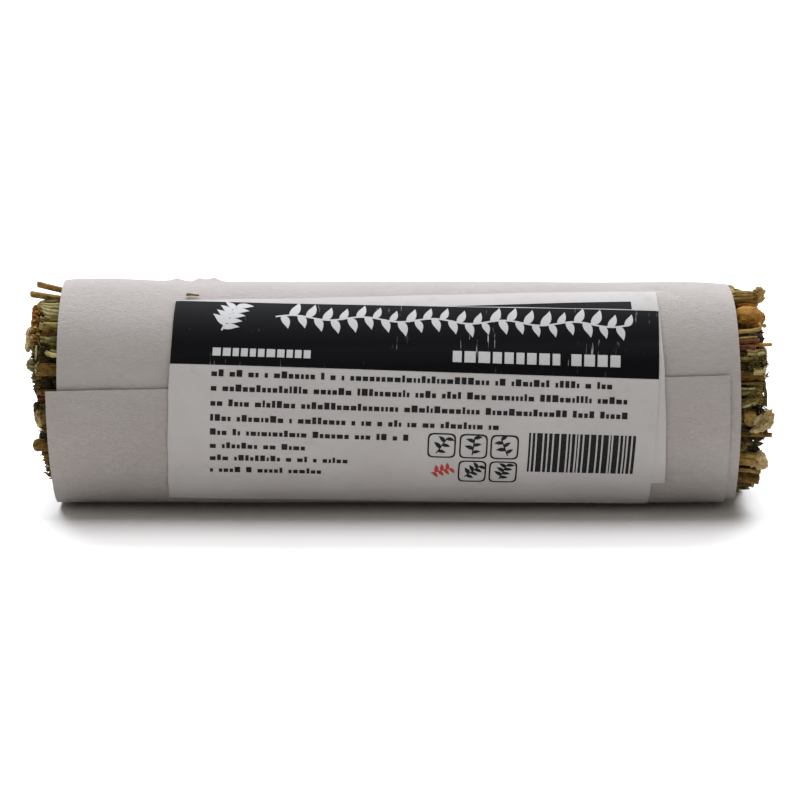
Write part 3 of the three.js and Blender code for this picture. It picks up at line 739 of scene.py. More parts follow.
white_marks = [
    printed("heading", garland, white_ink, Start=-18.6, Middle=12.7, Length=46.6, Count=42, Leaf=2.5,
            Width=1.15, Lean=0.62, Wave=0.35, Waves=5, Stem=0.26),
    printed("sprig_mark", garland, white_ink, Start=-25.6, Middle=10.1, Length=4.6, Count=9, Leaf=2.3,
            Width=1.0, Lean=0.55, Turn=68 * DEGREE, Wave=0.1, Waves=0.5, Stem=0.24),
    printed("small_row_left", blocks, white_ink, Start=-26.6, Middle=6.95, Length=13.6, Narrow=0.75,
            Wide=1.15, Height=1.15, Tall=0, Space=0.28, Words=0.12, Seed=21),
    printed("small_row_right", blocks, white_ink, Start=5.0, Middle=7.3, Length=23, Narrow=1.0, Wide=1.6,
            Height=1.6, Tall=0, Space=0.36, Wordspace=1.1, Words=0.2, Seed=35),
]


def raised(parts, by):
    """Moves ink outwards from the axis, so that it lies on the ink under it."""
    for part in parts:
        for vertex in part.data.vertices:
            out = Vector((0, vertex.co.y - AXIS.y, vertex.co.z - AXIS.z))
            vertex.co += out.normalized() * by
    return parts


settle(joined_piece("top_label_white_marks", raised(white_marks, INK_THICKNESS)), "label")

# %% [markdown]
# ## What dried herbs are made of
# Dried sage is never one green. A leaf is olive and grey-green with brown bruises and pale dry margins,
# bark is streaked along its length, and pith is cream and crumbly. One function paints them all: it
# blends a dark, a middle and a light colour by noise that is stretched along the piece, and the
# numbers that each recipe notes on its mesh turn the pattern with the piece.

# %% A finish for anything that was once alive
def herb_look(dark, middle, light, streak=6.0, grain=1.4, depth=0.10, vein=0.0):
    """Colours of a dried piece. Its own length runs along the noted spread's X, in millimetres."""
    def look(graph):
        spread = noted(graph, "spread")
        along, across, layer = graph.parts(spread)
        tone = noted(graph, "tone", "Fac")
        streaks = graph.noise((along, across * streak, layer), 0.55, 4.0, 0.65)
        mottle = graph.noise((along, across, layer + 40), grain, 5.0, 0.68)
        bruise = graph.noise(here(graph), 0.45, 3.0, 0.6)
        share = streaks * 0.5 + mottle * 0.5 + (tone - 0.5) * 0.22 + (bruise - 0.5) * 0.3
        base = graph.mix(share.share(0.36, 0.52), (*dark, 1), (*middle, 1))
        ribs = abs((across * (2.2 + vein) + along * 0.8).sin()) ** 6 * (vein > 0) * 0.5
        pale = (share.share(0.52, 0.72) * 0.8).most(ribs)
        return {
            "colour": graph.mix(pale, base, (*light, 1)),
            "roughness": 0.78 + mottle * 0.2,
            "height": streaks * 0.6 + mottle * 0.6 + ribs,
            "depth": depth * MM,
        }
    return look


def herb(name, dark, middle, light, sheen=0.04, **pattern):
    return paint(name, herb_look(dark, middle, light, **pattern), sheen=sheen, specular=0.12)


olive_leaf = herb("olive sage leaf", (0.026, 0.017, 0.002), (0.105, 0.075, 0.013), (0.3, 0.235, 0.07),
                  vein=1.0)
grey_leaf = herb("grey-green sage leaf", (0.04, 0.032, 0.007), (0.135, 0.112, 0.032), (0.38, 0.34, 0.15),
                 sheen=0.15, vein=1.6)
brown_leaf = herb("brown dry leaf", (0.028, 0.013, 0.002), (0.12, 0.065, 0.011), (0.3, 0.19, 0.05))
pale_leaf = herb("pale dry leaf", (0.1, 0.07, 0.019), (0.28, 0.22, 0.08), (0.54, 0.46, 0.23), vein=0.6)
golden_leaf = herb("golden bract", (0.12, 0.045, 0.004), (0.3, 0.14, 0.016), (0.52, 0.31, 0.07),
                   streak=1.4, grain=5.0, depth=0.35)
bark = herb("streaked bark", (0.08, 0.042, 0.008), (0.24, 0.15, 0.036), (0.46, 0.31, 0.12), streak=9.0)
orange_bark = herb("orange bark", (0.1, 0.036, 0.004), (0.33, 0.15, 0.021), (0.5, 0.29, 0.07), streak=5.0)
red_bark = herb("red-brown bark", (0.03, 0.009, 0.002), (0.1, 0.036, 0.011), (0.25, 0.12, 0.05), streak=8.0)
pith = herb("cream pith", (0.15, 0.085, 0.022), (0.43, 0.32, 0.14), (0.7, 0.58, 0.34),
            streak=1.0, grain=3.4, depth=0.25)
# Crumbled leaf, coloured near black: the darkness is partly its own colour and partly painted shade for the
# dark gaps between the herb pieces.
crumbs_and_shade = herb("crumbled leaf", (0.01, 0.006, 0.001), (0.034, 0.022, 0.004), (0.15, 0.105, 0.028),
                streak=1.0, grain=2.6, depth=0.25)

# %% [markdown]
# ## Sprigs
# The bundle is a handful of leafy sprigs, each squeezed into its own share of the round, so no two
# have the same outline. The measured solid of a sprig says where its share ends: rays sent out from
# the sprig's middle find that wall, and every leaf is pressed inside it. That is a job for Geometry
# Nodes, which can cast a ray from each point of a hundred folded leaves at once. A core of crumbled
# leaf fills what the leaves leave open, near black as painted shade for the gaps between the leaves,
# and a stem runs through the middle.

# %% A rod of wood, with bark round it and pith at its cut ends
TIED_REACH = 40.5 * MM
LOOSE_FROM = 43 * MM
LOOSENING = 0.067
CAP = 0.07
CUT_FROM = 0.12
INSIDE_PAPER = 14.3 * MM
PAPER_MIDDLE = -1.3 * MM
PAPER_REACH = 45 * MM
FREE_ABOVE = 2 * MM


def wrapped(x, y, z):
    """Y and Z drawn in to what the paper leaves inside, except beyond its ends."""
    away_y, away_z = y - AXIS.y, z - AXIS.z
    far = (away_y * away_y + away_z * away_z) ** 0.5
    beyond = abs(x - PAPER_MIDDLE).share(PAPER_REACH, PAPER_REACH + FREE_ABOVE) * FREE_ABOVE
    factor = far.least(beyond + INSIDE_PAPER) / far.most(1 * MM)
    return AXIS.y + away_y * factor, AXIS.z + away_z * factor


def loosened(x, y, z):
    """Y and Z spread away from the axis where the bundle is no longer tied."""
    factor = abs(x).share(TIED_REACH, LOOSE_FROM) * LOOSENING + 1
    return wrapped(x, AXIS.y + (y - AXIS.y) * factor, AXIS.z + (z - AXIS.z) * factor)


def rod_recipe():
    recipe = Recipe("rod", Left=-0.047, Right=0.047, Y=0.0, Z=0.0, Tip_y=0.0, Tip_z=0.0, Radius=0.0006,
                    Ridges=5.0, Ridge=0.12, Lumps=0.08, Round=0.25, Slant=0.0, Seed=int(1),
                    Bark="Material", Cut="Material")
    u, v, _ = recipe.place()
    seed = recipe.Seed * 3.7
    cap = (1 - v / CAP).most(0) + (1 - (1 - v) / CAP).most(0)
    body = v.share(CAP, 1 - CAP) * 2 - 1
    side = (body > 0) * 2 - 1
    reach = side * (1 - (1 - abs(body)) ** 2.4)
    half = (recipe.Right - recipe.Left) * 0.5
    phi = u * TURN
    across = phi.sin()
    x = (recipe.Right + recipe.Left) * 0.5 + half * reach
    ridged = abs((phi * (recipe.Ridges * 0.5) + x * 60).sin()) * recipe.Ridge
    rounded = (cap * cap * -1 + 1).most(0) ** 0.5
    lumps = recipe.noise((x * 1400, phi.cos() * 1.2, across * 1.2 + seed), 1.0, 3.0, 0.6) - 0.5
    wide = recipe.Radius * (1 - ridged + lumps * 2 * recipe.Lumps)
    tip = (cap > 0) * recipe.Round
    radius = wide * ((1 - cap) * (1 - tip) + tip * rounded)
    pitted = recipe.noise((phi.cos() * cap * 3, across * cap * 3, seed), 2.0, 2.0, 0.6) - 0.5
    standing = tip * cap * 0.9 + pitted * 0.5 * (1 - cap) * cap * 3
    slanted = recipe.Slant * across * radius / recipe.Radius
    x = x + side * recipe.Radius * ((cap > 0) * standing + slanted)
    end = recipe.Right.most(recipe.Left * -1)
    free = ((abs(x) - TIED_REACH) / (end - TIED_REACH)).most(0)
    y = recipe.Y + (recipe.Tip_y - recipe.Y) * free + radius * phi.cos()
    z = recipe.Z + (recipe.Tip_z - recipe.Z) * free + radius * across
    spread = recipe.vector(x * TO_MM * (1 - (cap > 0) * 0.8), phi * recipe.Radius * TO_MM, seed)
    flat = recipe.noted(recipe.sheet(20, 60), "spread", spread)
    toned = recipe.noted(flat, "tone", recipe.draw(0.35, 0.65, recipe.Seed, key=0))
    barked = recipe.dressed(toned, recipe.Bark)
    cut = recipe.dressed(barked, recipe.Cut, cap > CUT_FROM)
    return recipe.finish(recipe.merged(recipe.moved(cut, x, y, z)))


# %% A sprig's leaves, pressed into its share of the bundle
RAY_LENGTH = 20 * MM
LEAF_TEAR = 2.2 * MM
LEAF_CRUMPLE = 0.55 * MM
LEAF_THICKNESS = 0.15 * MM
CORE_CAP = 0.2
CORE_INSET = 5.2 * MM
CORE_BULGE = 0.9 * MM
CORE_ROUGHNESS = 3 * MM


def sprig_recipe():
    recipe = Recipe("sprig", Solid="Object", Y=0.0, Z=0.0, Left=-0.047, Right=0.047, Leaves=int(42),
                    Seed=int(1), Long=0.008, Leaf="Material", Other="Material", Core="Material")
    solid = recipe.node("GeometryNodeObjectInfo", {"Object": recipe.Solid}).out("Geometry")
    room = recipe.node("GeometryNodeConvexHull", {"Geometry": solid})
    middle = recipe.vector(0.0, recipe.Y, recipe.Z)

    def reach(angle):
        """Distance from the sprig's middle to the edge of its share."""
        way = recipe.vector(0.0, *angle.cos_sin())
        ray = {"Source Position": middle, "Ray Direction": way, "Ray Length": RAY_LENGTH}
        cast = recipe.node("GeometryNodeRaycast", {"Target Geometry": room, **ray})
        return cast.out("Hit Distance")

    seed = recipe.Seed * 20
    index = recipe.node("GeometryNodeInputIndex")
    side = index.math("MODULO", 2) * 2 - 1
    leaf = (index * 0.5).math("FLOOR")
    turn = leaf * 2.4 + recipe.draw(0.0, 0.8, seed)
    out = ((leaf + 0.5) / (recipe.Leaves * 0.5)) ** 0.5
    fields = {"side": side, "turn": turn, "out": out, "number": index + recipe.Seed * 31}
    fields |= recipe.draws(seed + 1, fold=(-0.8, 0.8), roll=(0.4, 2.9), twist=(-1.5, 1.5),
                           wide=(0.9 * MM, 2.4 * MM), cut=(-0.2 * MM, 3.4 * MM), point=(-0.7, 1.0),
                           tone=(0.0, 1.0), cap=(0.88, 1.06))
    leaves = recipe.copies(recipe.sheet(8, 8), recipe.Leaves, **fields)
    known = recipe.known
    u, v, _ = recipe.place()
    s = v * 2 - 1
    side, turn, out, number, fold, roll, wide, point = map(known, (
        "side", "turn", "out", "number", "fold", "roll", "wide", "point"))
    torn = recipe.noise((s * 2.2, number * 5.1, 0.0), 1.2, 3.0, 0.7)
    ragged = torn * LEAF_TEAR * (1 - u) ** 3
    end = (side > 0) * recipe.Right - (side < 0) * recipe.Left
    x = side * (end - known("cut") - ragged - u ** 1.7 * recipe.Long)
    pointed = ((u * 3.2).least(1) ** 0.7 - 1) * point.most(0) + 1
    half = wide * pointed * (1 - (u - 0.7).most(0))
    bow = roll * s
    a = half * bow.sin() / roll
    b = half * (bow.cos() - 1) / roll + abs(s) * half * fold
    pleat = (s * 3.6 + number).sin() * half * 0.10
    cos, sin = known("twist").cos_sin()
    away = out * reach(turn) * 0.92 + a * sin + (b + pleat) * cos
    beside = a * cos - (b + pleat) * sin
    turned_cos, turned_sin = turn.cos_sin()
    spot = recipe.vector(x * 700, away * 1400 + number * 3.3, beside * 1400)
    shift_x, shift_y, shift_z = recipe.crumpled(spot, 0.8, LEAF_CRUMPLE)
    y = away * turned_cos - beside * turned_sin + shift_y
    z = away * turned_sin + beside * turned_cos + shift_z
    angle = z.math("ARCTAN2", y)
    far = (y * y + z * z) ** 0.5
    kept_in = far.least(reach(angle) * known("cap"))
    y, z = loosened(x, recipe.Y + angle.cos() * kept_in, recipe.Z + angle.sin() * kept_in)
    marked = recipe.noted(leaves, "spread", (u * 12, s * wide * TO_MM, number))
    pressed = recipe.moved(marked, x + shift_x, y, z)
    green = recipe.dressed(recipe.thick(pressed, LEAF_THICKNESS), recipe.Leaf)
    dressed = recipe.dressed(green, recipe.Other, fold > 0.35)

    # The core: a rough closed tube of crumbled leaf behind the leaves, whose near-black colour is painted
    # shade filling the gaps.
    u, v, _ = recipe.place()
    cap = (1 - v / CORE_CAP).most(0) + (1 - (1 - v) / CORE_CAP).most(0)
    body = v.share(CORE_CAP, 1 - CORE_CAP)
    phi = u * TURN
    spot = recipe.vector(phi.cos() * 2 * (1 - cap), phi.sin() * 2 * (1 - cap), v * 8 + seed)
    rough = recipe.noise(spot, 1.6, 4.0, 0.7) - 0.5
    x = recipe.Left + CORE_INSET + body * (recipe.Right - recipe.Left - 2 * CORE_INSET)
    x = x + ((body * 2 - 1) * cap * (rough * CORE_ROUGHNESS + CORE_BULGE))
    radius = reach(phi) * (1.03 + rough * 0.2) * (1 - cap)
    y, z = loosened(x, recipe.Y + phi.cos() * radius, recipe.Z + phi.sin() * radius)
    marked = recipe.noted(recipe.sheet(24, 36), "spread", (x * TO_MM, radius * TO_MM, phi + seed))
    core = recipe.merged(recipe.moved(marked, x, y, z))

    return recipe.finish(recipe.joined(recipe.dressed(core, recipe.Core), dressed))


# %% Litter
SHRED_THICKNESS = 0.05 * MM


def litter_recipe():
    """Shreds of broken leaf round a middle line: small curled sheets that lie every way."""
    recipe = Recipe("litter", Inner=0.042, Tip=0.047, Y=0.0, Z=0.0, Angle=0.0, Spread=0.1, Near=0.0105,
                    Far=0.0132, Long=0.0013, Wide=0.0003, Bend=0.3, Lean=1.3, Count=int(70),
                    Seed=int(1), Stuff="Material")
    seed = recipe.Seed * 13
    fields = recipe.draws(seed, start=(0, 1), where=(-1, 1), deep=(0, 1), long=(0.4, 1.5), wide=(0.4, 1.4),
                          roll=(0.3, 2.6), spin=(0, TURN), lean=(-1, 1), way=(0, TURN), bend=(-1, 1),
                          tone=(0.1, 0.9), number=(0, 90))
    fields["start"] = recipe.Inner + (recipe.Tip - recipe.Inner) * fields["start"] ** 0.75
    fields["where"] = recipe.Angle + recipe.Spread * fields["where"]
    fields["deep"] = recipe.Near + (recipe.Far - recipe.Near) * fields["deep"] ** 0.5
    for name in ("long", "wide", "lean", "bend"):
        fields[name] = getattr(recipe, name.title()) * fields[name]
    shreds = recipe.copies(recipe.sheet(4, 2), recipe.Count, **fields)
    known = recipe.known

    def turned(first, second, angle):
        cos, sin = known(angle).cos_sin()
        return first * cos - second * sin, first * sin + second * cos

    u, v, _ = recipe.place()
    s, middle = v * 2 - 1, u - 0.5
    half = known("wide") * (1 - middle * middle * 3.4)
    a = half * (known("roll") * s).sin() / known("roll")
    bend = middle * middle * known("bend") * known("long") * 4
    b = half * ((known("roll") * s).cos() - 1) / known("roll") + bend
    a, b = turned(a, b, "spin")
    along, a = turned(middle * known("long"), a, "lean")
    a, b = turned(a, b, "way")
    out, cos, sin = known("deep") + b, known("where").cos(), known("where").sin()
    kept = recipe.noted(shreds, "spread", (u * 2, s, known("number")))
    x = known("start") + along
    y, z = wrapped(x, recipe.Y - out * cos + a * sin, recipe.Z + out * sin + a * cos)
    return recipe.shell(recipe.moved(kept, x, y, z), SHRED_THICKNESS, recipe.Stuff)


# %% Seventeen sprigs
SHREDDED_SHARE = 0.18
SHREDS_FROM = 4.2 * MM
SHREDS_TO = 1.2 * MM

rod, sprig, litter = rod_recipe(), sprig_recipe(), litter_recipe()
sprig_nodes = sorted(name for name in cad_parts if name.startswith("sprig_"))
for i, name in enumerate(sprig_nodes):
    low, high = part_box(name)
    centre = (low + high) / 2
    y = AXIS.y + (centre.y - AXIS.y) / (1 + LOOSENING)
    z = AXIS.z + (centre.z - AXIS.z) / (1 + LOOSENING)
    leaves = grow(name + "_leaves", sprig, Solid=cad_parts[name], Y=y, Z=z, Left=low.x,
                  Right=high.x, Seed=i + 1, Leaf=(olive_leaf, grey_leaf)[i % 3 == 1], Core=crumbs_and_shade,
                  Other=(brown_leaf, grey_leaf, olive_leaf, pale_leaf)[i % 4])
    left, right = low.x + (0.3 + i % 4 * 0.5) * MM, high.x - (0.2 + i % 3 * 0.6) * MM
    stem = grow(name + "_stem", rod, Left=left, Right=right, Y=y, Z=z, Tip_y=centre.y, Tip_z=centre.z,
                Radius=(0.5 + i % 5 * 0.1) * MM, Seed=i, Bark=(bark, red_bark)[i % 2], Cut=pith)
    share = (high.y - low.y + high.z - low.z) * SHREDDED_SHARE
    parts = [leaves, stem]
    for j, (end, tip) in enumerate(((-1, -low.x), (1, high.x))):
        parts.append(grow(f"{name}_shreds_{j}", litter, Inner=end * (tip - SHREDS_FROM), Seed=2 * i + j,
                          Tip=end * (tip - SHREDS_TO), Y=centre.y, Z=centre.z, Near=0, Far=share,
                          Spread=TURN / 2, Long=1.7 * MM, Wide=0.4 * MM,
                          Stuff=(crumbs_and_shade, brown_leaf, olive_leaf)[(i + j) % 3]))
    settle(joined_piece(name + "_pieces", parts), "leaf", name)

# %% [markdown]
# ## The pieces that face the front
# At the front of each cut end every piece can be told apart, so each is made on its own: leaves
# folded on the rib or rolled to a tube, bark, twigs and crumbling pith. Three recipes cover them.
# The rod above makes stems. A pressed leaf is a sheet whose cross-section is an arc plus a fold plus
# pleats, with a ragged outer end. A lump is a ball pushed in and out by noise. All of them are placed
# by the angle and the distance from the axis that the measured model gives for their node.

# %% A pressed leaf
def leaf_recipe():
    recipe = Recipe("pressed_leaf", Tip=0.048, Root=0.038, Angle=0.0, Out=0.013, Wide=0.0012, Narrow=0.8,
                    Fold=0.0, Roll=1.0, Twist=0.0, Wring=0.0, Pleats=2.0, Pleat=0.2, Crumple=0.0003,
                    Ragged=0.0006, Point=0.0, Lift=0.0, Rise=0.0, Curl=0.0, Thick=0.0002,
                    Tone=0.5, Seed=int(1), Face="Material")
    u, v, _ = recipe.place()
    s = v * 2 - 1
    side = (recipe.Tip > 0) * 2 - 1
    seed = recipe.Seed * 7.3
    length = abs(recipe.Tip - recipe.Root)
    edge = recipe.noise((s * 2.4, seed, 0.0), 1.4, 4.0, 0.75) * 2 * recipe.Ragged
    near = 1 - u
    back = u ** 1.35 * length + edge * near ** 4
    curl = (1 - u * 7).most(0)
    x = recipe.Tip - side * (back + recipe.Curl * curl ** 3 * 0.7)
    pointed = ((u * 6).least(1) ** 0.7 - 1) * recipe.Point + 1
    half = recipe.Wide * pointed * (1 - (1 - recipe.Narrow) * u)
    bow = recipe.Roll * s
    a = half * bow.sin() / recipe.Roll
    pleat = (s * recipe.Pleats * (TURN / 2) + seed).sin() * half * recipe.Pleat
    b = half * (bow.cos() - 1) / recipe.Roll - abs(s) * half * recipe.Fold + pleat
    twist = recipe.Twist + recipe.Wring * u
    cos, sin = twist.cos_sin()
    spot = recipe.vector(x * 600, a * 900 + seed, b * 900)
    rough = [shift * recipe.Crumple for shift in recipe.crumpled(spot, 0.9, 1.0)]
    lifted = recipe.Lift * near ** 2
    out = recipe.Out + a * sin + b * cos + lifted + recipe.Curl * curl ** 2 + rough[0]
    up = a * cos - b * sin + recipe.Rise * near ** 2 + rough[1]
    cos, sin = recipe.Angle.cos_sin()
    spread = recipe.vector(u * length * TO_MM, s * recipe.Wide * TO_MM, seed)
    kept = recipe.noted(recipe.sheet(40, 14), "spread", spread)
    toned = recipe.noted(kept, "tone", recipe.Tone + 0.0)
    y, z = AXIS.y - out * cos + up * sin, AXIS.z + out * sin + up * cos
    return recipe.shell(recipe.moved(toned, x + rough[2], y, z), recipe.Thick, recipe.Face)


# %% A lump
def lump_recipe():
    recipe = Recipe("lump", X=0.0, Angle=0.0, Out=0.013, Long=0.001, High=0.001, Deep=0.001, Lean=0.0,
                    Rough=0.35, Grain=1.0, Seed=int(1), Tone=0.5, Stuff="Material")
    ball = recipe.node("GeometryNodeMeshIcoSphere", {"Radius": 1.0, "Subdivisions": 4})
    x, y, z = recipe.place()
    seed = recipe.Seed * 5.1
    coarse = recipe.noise((x + seed, y, z), 1.3, 2.0, 0.5) - 0.5
    fine = recipe.noise((x + seed, y, z), recipe.Grain * 3.2, 4.0, 0.7) - 0.5
    swollen = 1 + (coarse * 3.2 + fine * 2.6) * recipe.Rough
    cos, sin = recipe.Lean.cos_sin()
    long, high = x * swollen * recipe.Long, z * swollen * recipe.High
    out = recipe.Out - y * swollen * recipe.Deep
    up = long * sin + high * cos
    kept = recipe.noted(ball, "spread", (x * 2, z * 2, y * 2 + seed))
    toned = recipe.noted(kept, "tone", recipe.Tone + 0.0)
    x = recipe.X + long * cos - high * sin
    cos, sin = recipe.Angle.cos_sin()
    y, z = AXIS.y - out * cos + up * sin, AXIS.z + out * sin + up * cos
    return recipe.finish(recipe.dressed(recipe.moved(toned, x, y, z), recipe.Stuff))


# %% How a front piece is put together
pressed_leaf, lump = leaf_recipe(), lump_recipe()
FRONT_SPREAD = 0.85
LOOSE_ANGLE = 60
ROD_ROOT = 30
LENGTHS = {"Wide", "Crumple", "Ragged", "Lift", "Rise", "Curl", "Thick", "Long", "High", "Deep",
           "Radius"}


class Front:
    """What one node shows at the front, in millimetres and degrees. After its finish each piece has its
    turn from the node's own angle, its distance back from the tip and out from the node's place, and
    then its sizes."""

    def __init__(self, node, spread=FRONT_SPREAD):
        self.node, self.parts = node, []
        low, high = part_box(node)
        self.side = -1 if high.x < 0 else 1
        self.tip = (low.x if self.side < 0 else high.x) / MM
        tied = [v.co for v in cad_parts[node].data.vertices if abs(v.co.x) < TIED_REACH]
        middle = sum(tied, Vector()) / len(tied) - AXIS
        self.angle = math.degrees(math.atan2(middle.z, -middle.y))
        self.tied = math.hypot(middle.y, middle.z) / MM
        self.out = self.tied + spread
        self.seed = sum(map(ord, node))

    def make(self, recipe, **given):
        self.seed += 1
        sized = {key: value * MM if key in LENGTHS else value for key, value in given.items()}
        self.parts.append(grow(f"{self.node}_{len(self.parts)}", recipe, Seed=self.seed, **sized))
        return self

    def row(self, make, stuff, keys, rows, **more):
        """One piece for each row, whose numbers are given in the order of the keys."""
        for row in rows:
            make(self, stuff, **dict(zip(keys.split(), row)), **more)
        return self

    def leaf(self, face, turn, back, out, Wide, Roll, root=7, **more):
        """A pressed leaf. Its sizes are its width and how far it is rolled up, in radians."""
        tip = self.tip - self.side * back
        return self.make(pressed_leaf, Tip=tip * MM, Root=(tip - self.side * root) * MM, Face=face,
                         Angle=(self.angle + turn) * DEGREE, Out=(self.out + out) * MM, Wide=Wide,
                         Roll=Roll, **more)

    def lump(self, stuff, turn, back, out, Long, High, Deep, Rough, **more):
        """A lump. Its sizes are its half length, half height, half depth and roughness."""
        return self.make(lump, X=(self.tip - self.side * back) * MM, Angle=(self.angle + turn) * DEGREE,
                         Out=(self.out + out) * MM, Stuff=stuff, Long=Long, High=High, Deep=Deep,
                         Rough=Rough, **more)

    def rod(self, bark, cut, turn, back, out, radius, **more):
        """A stem that runs from the front towards the middle of the stick."""
        tip, root = self.tip - self.side * back, self.side * ROD_ROOT
        angle = (self.angle + turn) * DEGREE
        places = {}
        for y, z, far in (("Y", "Z", self.tied), ("Tip_y", "Tip_z", self.out)):
            places[y] = AXIS.y - (far + out) * MM * math.cos(angle)
            places[z] = AXIS.z + (far + out) * MM * math.sin(angle)
        return self.make(rod, Left=min(tip, root) * MM, Right=max(tip, root) * MM, Bark=bark, Cut=cut,
                         Radius=radius, **places, **more)

    def litter(self, stuff, turn=0, wide=5, back=0.8, far=5, low=-3.2, high=0.2, count=70, **more):
        """Shreds between two distances back and two distances out, over a width in degrees."""
        tip = self.tip - self.side * back
        return self.make(litter, Inner=(tip - self.side * far) * MM, Tip=tip * MM, Stuff=stuff,
                         Y=AXIS.y, Z=AXIS.z, Angle=(self.angle + turn) * DEGREE, Spread=wide * DEGREE,
                         Near=(self.out + low) * MM, Far=(self.out + high) * MM, Count=count, **more)

    def tuft(self, stuff, turn, back, wide, count, Long=0.6):
        """Small shreds that stand out at the tip."""
        return self.litter(stuff, turn, wide, back + 0.4, 1.5, -0.9, 0.4, count, Long=Long, Wide=0.24,
                           Lean=1.5, Bend=0.6)

    def filled(self, slot, **more):
        """Fills up with near-black crumbled leaf behind what shows, as painted shade in the gaps, and
        settles.
        """
        return self.litter(crumbs_and_shade, **more).settle(slot)

    def settle(self, slot):
        # Unless the node sits near the top, two near-black lumps of crumbled leaf far behind the front are
        # painted shade in the hollow of the end.
        if self.angle < LOOSE_ANGLE:
            self.lump(crumbs_and_shade, 0, 1.7, -1.3, 1.25, 1.3, 0.9, 0.22, Grain=1.6)
            self.lump(crumbs_and_shade, 0, 3.2, -2.6, 1.9, 1.5, 1.2, 0.22, Grain=1.6)
        settle(joined_piece(self.node + "_pieces", self.parts), slot, self.node)


# %% [markdown]
# ## The left end, from top to bottom
# Two stems stand off at the top, over a folded grey-green leaf. Below it a strip of orange bark is bent
# down across the cut face, with cream pith on its outer edge. Rolled and crumpled leaves follow, then a
# smooth brown leaf, the ring of a broken stem, a pale face of pith and a furry round stub.

# %% Left end: stems and the folded leaf
(Front("left_splayed_stem", 2.25)
 .rod(bark, pale_leaf, 0, 0, 0, 0.47, Ridges=3, Ridge=0.16, Lumps=0.05, Round=0.1)
 .settle("stem"))

(Front("left_orange_stem", 1.6)
 .rod(bark, orange_bark, 0, 0, 0, 0.5, Ridges=2, Ridge=0.1, Round=0.5, Lumps=0.1)
 .settle("stem"))

(Front("left_folded_leaf")
 .leaf(grey_leaf, 7.5, -0.3, 0.85, 0.34, 1.2, Narrow=2, Rise=-1.7, Crumple=0.2, Tone=0.6, root=4.6)
 .leaf(brown_leaf, 5.5, -0.2, 0.7, 0.3, 1, Narrow=2, Rise=-1.2, Crumple=0.2, Tone=0, root=4.6)
 .row(Front.leaf, grey_leaf, "turn Rise Tone", ((0.5, 0, 0.9), (-3, 0.8, 0.5), (-6.5, 1.6, 1),
      (-10, 2.4, 0.6)), out=0.85, back=-0.35, Wide=0.3, Narrow=1.9, Roll=1.5, Crumple=0.16, Point=0.4,
      root=4.4)
 .lump(crumbs_and_shade, -7, 1, -0.2, 0.9, 1.5, 0.6, 0.2)
 .leaf(brown_leaf, -1, 0.3, -0.3, 1.1, 1.2, Tone=0.2)
 .filled("leaf"))

# %% Left end: the bent bark, and the leaves that it covers
(Front("left_olive_leaf")
 .leaf(olive_leaf, 0.4, 1.3, 0.3, 0.85, 1.9, Pleat=0.1, Tone=0.6)
 .leaf(pale_leaf, 0.4, 1.25, 0.34, 0.86, 1.9, Pleat=0.1, root=0.3, Tone=0.4)
 .row(Front.lump, orange_bark, "turn back", ((11, 0.6), (7, 0.65), (3, 0.7), (-1, 0.75), (-5, 0.7),
      (-9, 0.8), (-13, 0.75), (-16.5, 0.85)), out=-0.2, Long=0.5, High=0.95, Deep=0.5, Rough=0.34,
      Grain=2.2, Tone=0.3)
 .row(Front.lump, pith, "turn High", ((-9, 0.8), (-13.5, 0.9), (-17.5, 1)), back=0.1, out=-0.1, Long=0.4,
      Deep=0.45, Rough=0.4, Grain=1.6, Tone=0.8)
 .lump(crumbs_and_shade, -9, 1.6, -0.7, 0.9, 3.4, 0.8, 0.2, Grain=1.8)
 .litter(crumbs_and_shade, -9, 15, 0.9, 2.2, -1.5, 0.1, 150)
 .litter(orange_bark, -3, 15, 0.6, 0.9, -0.1, 0.55, 90, Long=0.6, Wide=0.3, Lean=0.9)
 .litter(brown_leaf, -8.5, 12, 0.6, 0.9, 0, 0.6, 70, Long=0.5, Wide=0.26, Lean=0.9)
 .litter(pith, -14, 5.5, 0.15, 0.5, -0.3, 0.4, 50, Long=0.6, Wide=0.26, Lean=0.8)
 .filled("leaf", wide=3))

(Front("left_rolled_leaf")
 .leaf(olive_leaf, 0.6, 0.1, 0.45, 1.25, 2.7, Pleat=0.02, Crumple=0.12, Tone=0.75)
 .leaf(pale_leaf, 0.6, 0.06, 0.47, 1.27, 2.7, Pleat=0.02, Crumple=0.12, root=0.25)
 .leaf(brown_leaf, -2.8, 0, 0.1, 0.9, 1.2, Pleats=3, Tone=0.15)
 .filled("golden_leaf", wide=3.5))

(Front("left_crumpled_leaf")
 .leaf(grey_leaf, 1.8, 0, 0.45, 0.85, 1.5, Pleats=3, Pleat=0.22, Crumple=0.4, Ragged=0.5)
 .leaf(olive_leaf, -1.5, 0.3, 0.2, 0.9, 1.1, Pleats=3, Pleat=0.25, Crumple=0.4, Tone=0.3)
 .tuft(olive_leaf, -3.5, 0.3, 2.5, 45)
 .filled("leaf", wide=4))

(Front("left_pale_stem")
 .leaf(pale_leaf, -1.6, 0, 0.5, 0.24, 1.3, Rise=0.7, Pleat=0.05, Crumple=0.15, root=3, Tone=0.6)
 .leaf(olive_leaf, 1, 0.4, 0.1, 0.6, 1.6, Pleat=0.3, Crumple=0.35, Tone=0.3)
 .lump(pale_leaf, 0.3, -0.8, 0.3, 0.13, 1, 0.2, 0.4, Tone=0.4)
 .litter(crumbs_and_shade, 1, 4.5, -1, 2, -1.4, 0.1, 60)
 .filled("stem", wide=3.5))

